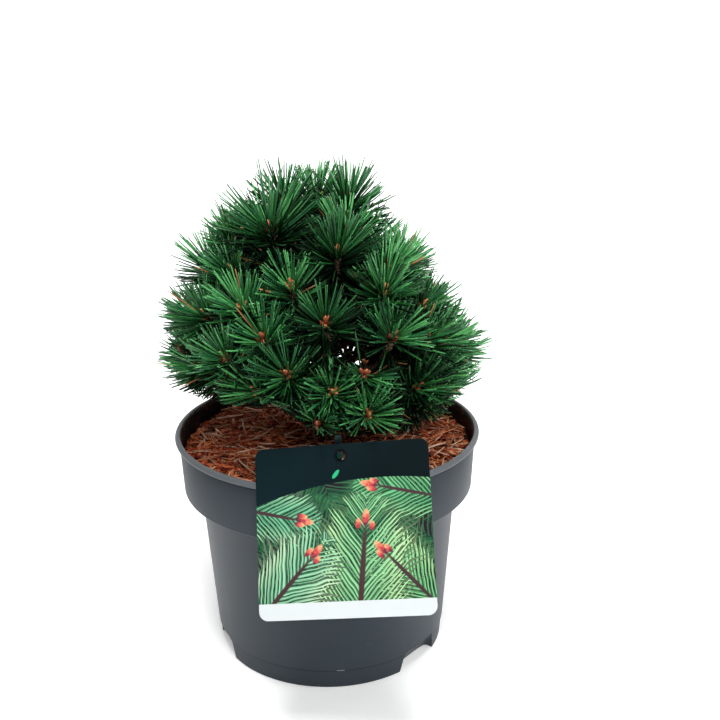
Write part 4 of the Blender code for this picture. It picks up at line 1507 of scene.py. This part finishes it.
# Its twig, and a few blushing buds at its end
def printBuds(colour, place, motif):
    p = printSettings
    along, across = motifPlace(place, *motif)
    twig = ellipseMask(along, across, (0.42, 0.0), (0.44, 0.022), 0.5)
    colour = mixColour(twig, colour, p["twig"])
    mottle = times(minus(noiseOf(place, 60.0, 2.0), 0.5), 0.9)
    for middle, radii in p["buds"]:
        radii = tuple(p["budSize"] * radius / motif[2] for radius in radii)
        bud = ellipseMask(along, across, middle, radii, 0.3)
        blush = times(minus(along, middle[0] - radii[0]), 0.5 / radii[0])
        tones = rampOf(plus(blush, mottle), *zip((0.10, 0.50, 0.92), p["budTones"]))
        colour = mixColour(bud, colour, tones)
    return colour


# A generic print: sprigs on a dark ground under a dark field with a painted sheen, over a bare pale strip
printSettings = {
    "needlePitch": 0.0330,
    "greens": ((0.002, 0.022, 0.014), (0.030, 0.18, 0.095), (0.26, 0.52, 0.32)),
    "tips": (0.48, 0.66, 0.42),
    "ground": ((0.016, 0.008, 0.016), (0.008, 0.038, 0.022), (0.035, 0.150, 0.060)),
    "field": ((0.0018, 0.0100, 0.0128), (0.0003, 0.0044, 0.0060)),
    "strip": (0.545, 0.58, 0.59),
    "stripTop": 0.097,
    "twig": (0.050, 0.026, 0.030),
    "buds": (
        ((0.90, 0.0), (0.085, 0.034)), ((0.85, 0.055), (0.055, 0.026)), ((0.84, -0.052), (0.050, 0.026)),
    ),
    "budTones": ((0.10, 0.022, 0.045), (0.50, 0.065, 0.060), (0.64, 0.33, 0.17)),
    "budSize": 0.58,
    "backTint": (0.12, 0.20, 0.16),
    "underTint": 0.22,
    "backSprigs": (
        ((1.02, 0.40), 140, 0.50), ((-0.10, 0.36), 24, 0.50), ((0.36, 0.84), -64, 0.44),
        ((0.78, 0.86), -100, 0.44), ((0.50, -0.06), 96, 0.50), ((0.00, -0.04), 40, 0.48),
    ),
    "sprigs": (
        ((1.04, 0.66), 166, 0.44, (0.55, 0.80, 0.60)),
        ((-0.12, 0.66), -14, 0.46, (0.60, 0.80, 0.75)),
        ((1.02, 0.04), 132, 0.52, (0.80, 0.95, 0.70)),
        ((0.56, -0.10), 84, 0.74, (0.95, 1.0, 0.80)),
        ((-0.02, -0.02), 48, 0.60, (1.0, 1.0, 1.0)),
    ),
    "leaf": ((0.450, 0.800), 52, 0.060),
    "leafGreen": (0.020, 0.36, 0.15),
    "holeRing": (0.001, 0.002, 0.003),
}


def printMaterial(c):
    p = printSettings
    material, shader = newMaterial("card_print", p["field"][0], 0.5, Specular_IOR_Level=0.08)
    place = addNode(shader, "ShaderNodeUVMap", uv_map="cardFace").outputs["UV"]
    split = addNode(place, "ShaderNodeSeparateXYZ", {"Vector": place})
    u, v = split.outputs["X"], split.outputs["Y"]
    colour = rampOf(noiseOf(place, 7.0, 2.0), *zip((0.42, 0.52, 0.66), p["ground"]))
    for motif in p["backSprigs"]:
        colour = printNeedles(colour, place, motif, 0.8, 0.40, p["backTint"])
    for *motif, tint in p["sprigs"]:
        under = tuple(p["underTint"] * t for t in tint)
        colour = printNeedles(colour, place, motif, 0.7, 0.36, under)
        colour = printNeedles(colour, place, motif, 1.3, 0.28, tint)
    for *motif, _ in p["sprigs"]:
        colour = printBuds(colour, place, motif)
    # The field's lower edge rises and falls again towards the right
    edge = plus(times(times(u, u), -0.25), times(u, 0.36))
    # The field is painted lighter at its upper left and darker at its lower right: a painted sheen
    slope = plus(times(u, 1.1), times(v, -1.0))
    field = rampOf(plus(slope, 0.75), *zip((0.15, 0.70), p["field"]))
    along, across = motifPlace(place, *p["leaf"])
    leaf = ellipseMask(along, across, (0.5, 0.0), (0.5, 0.19), 0.10)
    field = mixColour(leaf, field, p["leafGreen"])
    colour = mixColour(stepAt(v, plus(edge, 0.66), 400.0), colour, field)
    colour = mixColour(stepAt(p["stripTop"], v, 400.0), colour, p["strip"])
    # The hole's pressed ring
    hole = (0.5, 1 - c["holeDrop"] / c["height"])
    along, across = motifPlace(place, hole, 0, c["holeRadius"] / c["width"])
    ring = ellipseMask(along, across, (0.0, 0.0), (1.45, 1.45 * c["width"] / c["height"]), 0.12)
    colour = mixColour(times(ring, 0.85), colour, p["holeRing"])
    setFrom(shader, "Base Color", colour)
    addGrain(shader, noiseOf(objectPlace(shader), 1500.0, 2.0), 0.44, 0.56, 0.00002, 0.4)
    return material


def makeCard(c):
    deselectAll()
    bpy.ops.mesh.primitive_cube_add(size=1.0)
    card = newPiece("card_sheet")
    card.scale = (c["width"], c["height"], c["thickness"])
    applyPlace(card)
    bevelEdges(card, lambda a, b: a.z * b.z < 0, c["corner"], 10)
    deselectAll()
    place = (0, c["height"] / 2 - c["holeDrop"], 0)
    bpy.ops.mesh.primitive_cylinder_add(vertices=40, radius=c["holeRadius"], depth=0.02, location=place)
    booleanWith(card, newPiece("card_hole"))
    applyModifier(card, "BEVEL", width=0.00012, segments=2, limit_method="ANGLE")
    layer = card.data.uv_layers[0]
    layer.name = "cardFace"
    for polygon in card.data.polygons:
        polygon.material_index = 0 if polygon.normal.z > 0.9 else 1
        for index in polygon.loop_indices:
            spot = card.data.vertices[card.data.loops[index].vertex_index].co
            layer.data[index].uv = (spot.x / c["width"] + 0.5, spot.y / c["height"] + 0.5)
    card.data.transform(cardMatrix(c))
    blank = plainPlastic("card_blank", (0.66, 0.70, 0.71), 0.2, 900.0, 0.42, 0.58, 0.00003)
    finishPiece(card, [printMaterial(c), blank], "card", "label_card")
    print("label card cut")


def makeStake(c):
    slope = math.tan(math.radians(c["stakeLean"]))
    x, middleY = cardHole(c).x + c["stakeShift"], c["stakeTopY"] + c["stakeThickness"] / 2
    deselectAll()
    bpy.ops.mesh.primitive_cube_add(size=1.0)
    stake = newPiece("stake_strip")
    for vertex in stake.data.vertices:
        z = c["stakeTop"] if vertex.co.z > 0 else c["stakeFoot"]
        y = middleY + (c["stakeTop"] - z) * slope
        vertex.co = (x + vertex.co.x * c["stakeWidth"], y + vertex.co.y * c["stakeThickness"], z)
    applyModifier(stake, "BEVEL", width=0.0004, segments=3)
    # The button: a shank through the card's hole, with a round head on it
    gap = c["buttonGap"]
    headFoot = cardHole(c, c["thickness"] / 2 + gap)
    out = (headFoot - cardHole(c)).normalized()
    back = Vector((x, middleY + (c["stakeTop"] - headFoot.z) * slope, headFoot.z))
    path = [back, headFoot, headFoot + out * gap]
    path += [headFoot + out * (gap + 0.00001 + (c["buttonHead"] - gap) * t) for t in (0.0, 0.5, 0.85, 1.0)]
    radii = [c["shankRadius"]] * 3 + [c["buttonRadius"] * full for full in (0.94, 1.0, 0.93, 0.7)]
    booleanWith(stake, arrayPiece("stake_button", *tubeArrays([path], [radii], 28)), "UNION")
    shadeByAngle(stake, 35)
    plastic = plainPlastic("stake_plastic", (0.003, 0.016, 0.013), 0.12, 700.0, 0.30, 0.46, 0.00004)
    finishPiece(stake, plastic, "stake", "label_stake")
    print("stake placed")


makeCard(cardSettings)
makeStake(cardSettings)

growthDraws = np.random.default_rng(sprigSettings["seed"])
mainShoots = leadingShoots()
allShoots = mainShoots + sideShoots(mainShoots, growthDraws)
makeTwigs(allShoots)
makeBuds(allShoots, growthDraws)
makeNeedles(allShoots, growthDraws)


# A pale floor that sweeps up behind, under soft studio light

stageSettings = {
    "floorWidth": 6.0,
    "floorDepth": 3.0,
    "backHeight": 3.0,
    "sweepRadius": 0.8,
    "glow": (0.28, 0.7),
    "glowReach": (0.30, 1.2),
    "world": (0.15, 1.0),
    "target": (0, 0, 0.2),
}

# Place, size and power of each light
lightSettings = {
    "topLight": ((0.0, -0.45, 1.55), 0.6, 26.0),
    "keyLight": ((0.25, -1.3, 1.1), 0.5, 8.8),
    "rightLight": ((1.3, -0.3, 0.8), 0.5, 6.8),
    "leftLight": ((-1.3, 0.4, 0.9), 0.5, 0.8),
}


def makeStage(s):
    deselectAll()
    bpy.ops.mesh.primitive_plane_add(size=1.0, location=(0, 0, -0.0002))
    floor = newPiece("floor")
    floor.scale = (s["floorWidth"], s["floorDepth"], 1)
    applyPlace(floor)
    selectEdges(floor, lambda a, b: min(a.y, b.y) > 0)
    bpy.ops.mesh.extrude_region_move(TRANSFORM_OT_translate={"value": (0, 0, s["backHeight"])})
    bpy.ops.object.mode_set(mode="OBJECT")
    bevelEdges(floor, lambda a, b: min(a.y, b.y) > 0 and max(a.z, b.z) < 0.01, s["sweepRadius"], 16)
    # The far floor glows a little, so that it stays as white as the lit part near the pot
    material, shader = newMaterial("studio_white", (0.92, 0.92, 0.92), 0.9)
    shader.inputs["Emission Color"].default_value = (1, 1, 1, 1)
    glow = spread(lengthOf(objectPlace(shader)), *s["glow"], *s["glowReach"])
    setFrom(shader, "Emission Strength", glow)
    floor.data.materials.append(material)
    shadeByAngle(floor, 60)


def areaLight(name, place, target, size, power):
    deselectAll()
    aim = (Vector(target) - Vector(place)).to_track_quat("-Z", "Y").to_euler()
    bpy.ops.object.light_add(type="AREA", location=place, rotation=aim)
    light = bpy.context.object
    light.name = name
    light.data.shape = "DISK"
    light.data.size = size
    light.data.energy = power


def lightStage(s):
    world = bpy.data.worlds.new("studio")
    world.use_nodes = True
    background = world.node_tree.nodes["Background"]
    background.inputs["Color"].default_value = (1, 1, 1, 1)
    # Dim as a light, and white where it is seen past the backdrop
    seen = addNode(background, "ShaderNodeLightPath").outputs["Is Camera Ray"]
    setFrom(background, "Strength", spread(seen, *s["world"]))
    bpy.context.scene.world = world
    bpy.context.scene.view_settings.view_transform = "Standard"
    for name, (place, size, power) in lightSettings.items():
        areaLight(name, place, s["target"], size, power)
    print("stage lit")


makeStage(stageSettings)
lightStage(stageSettings)
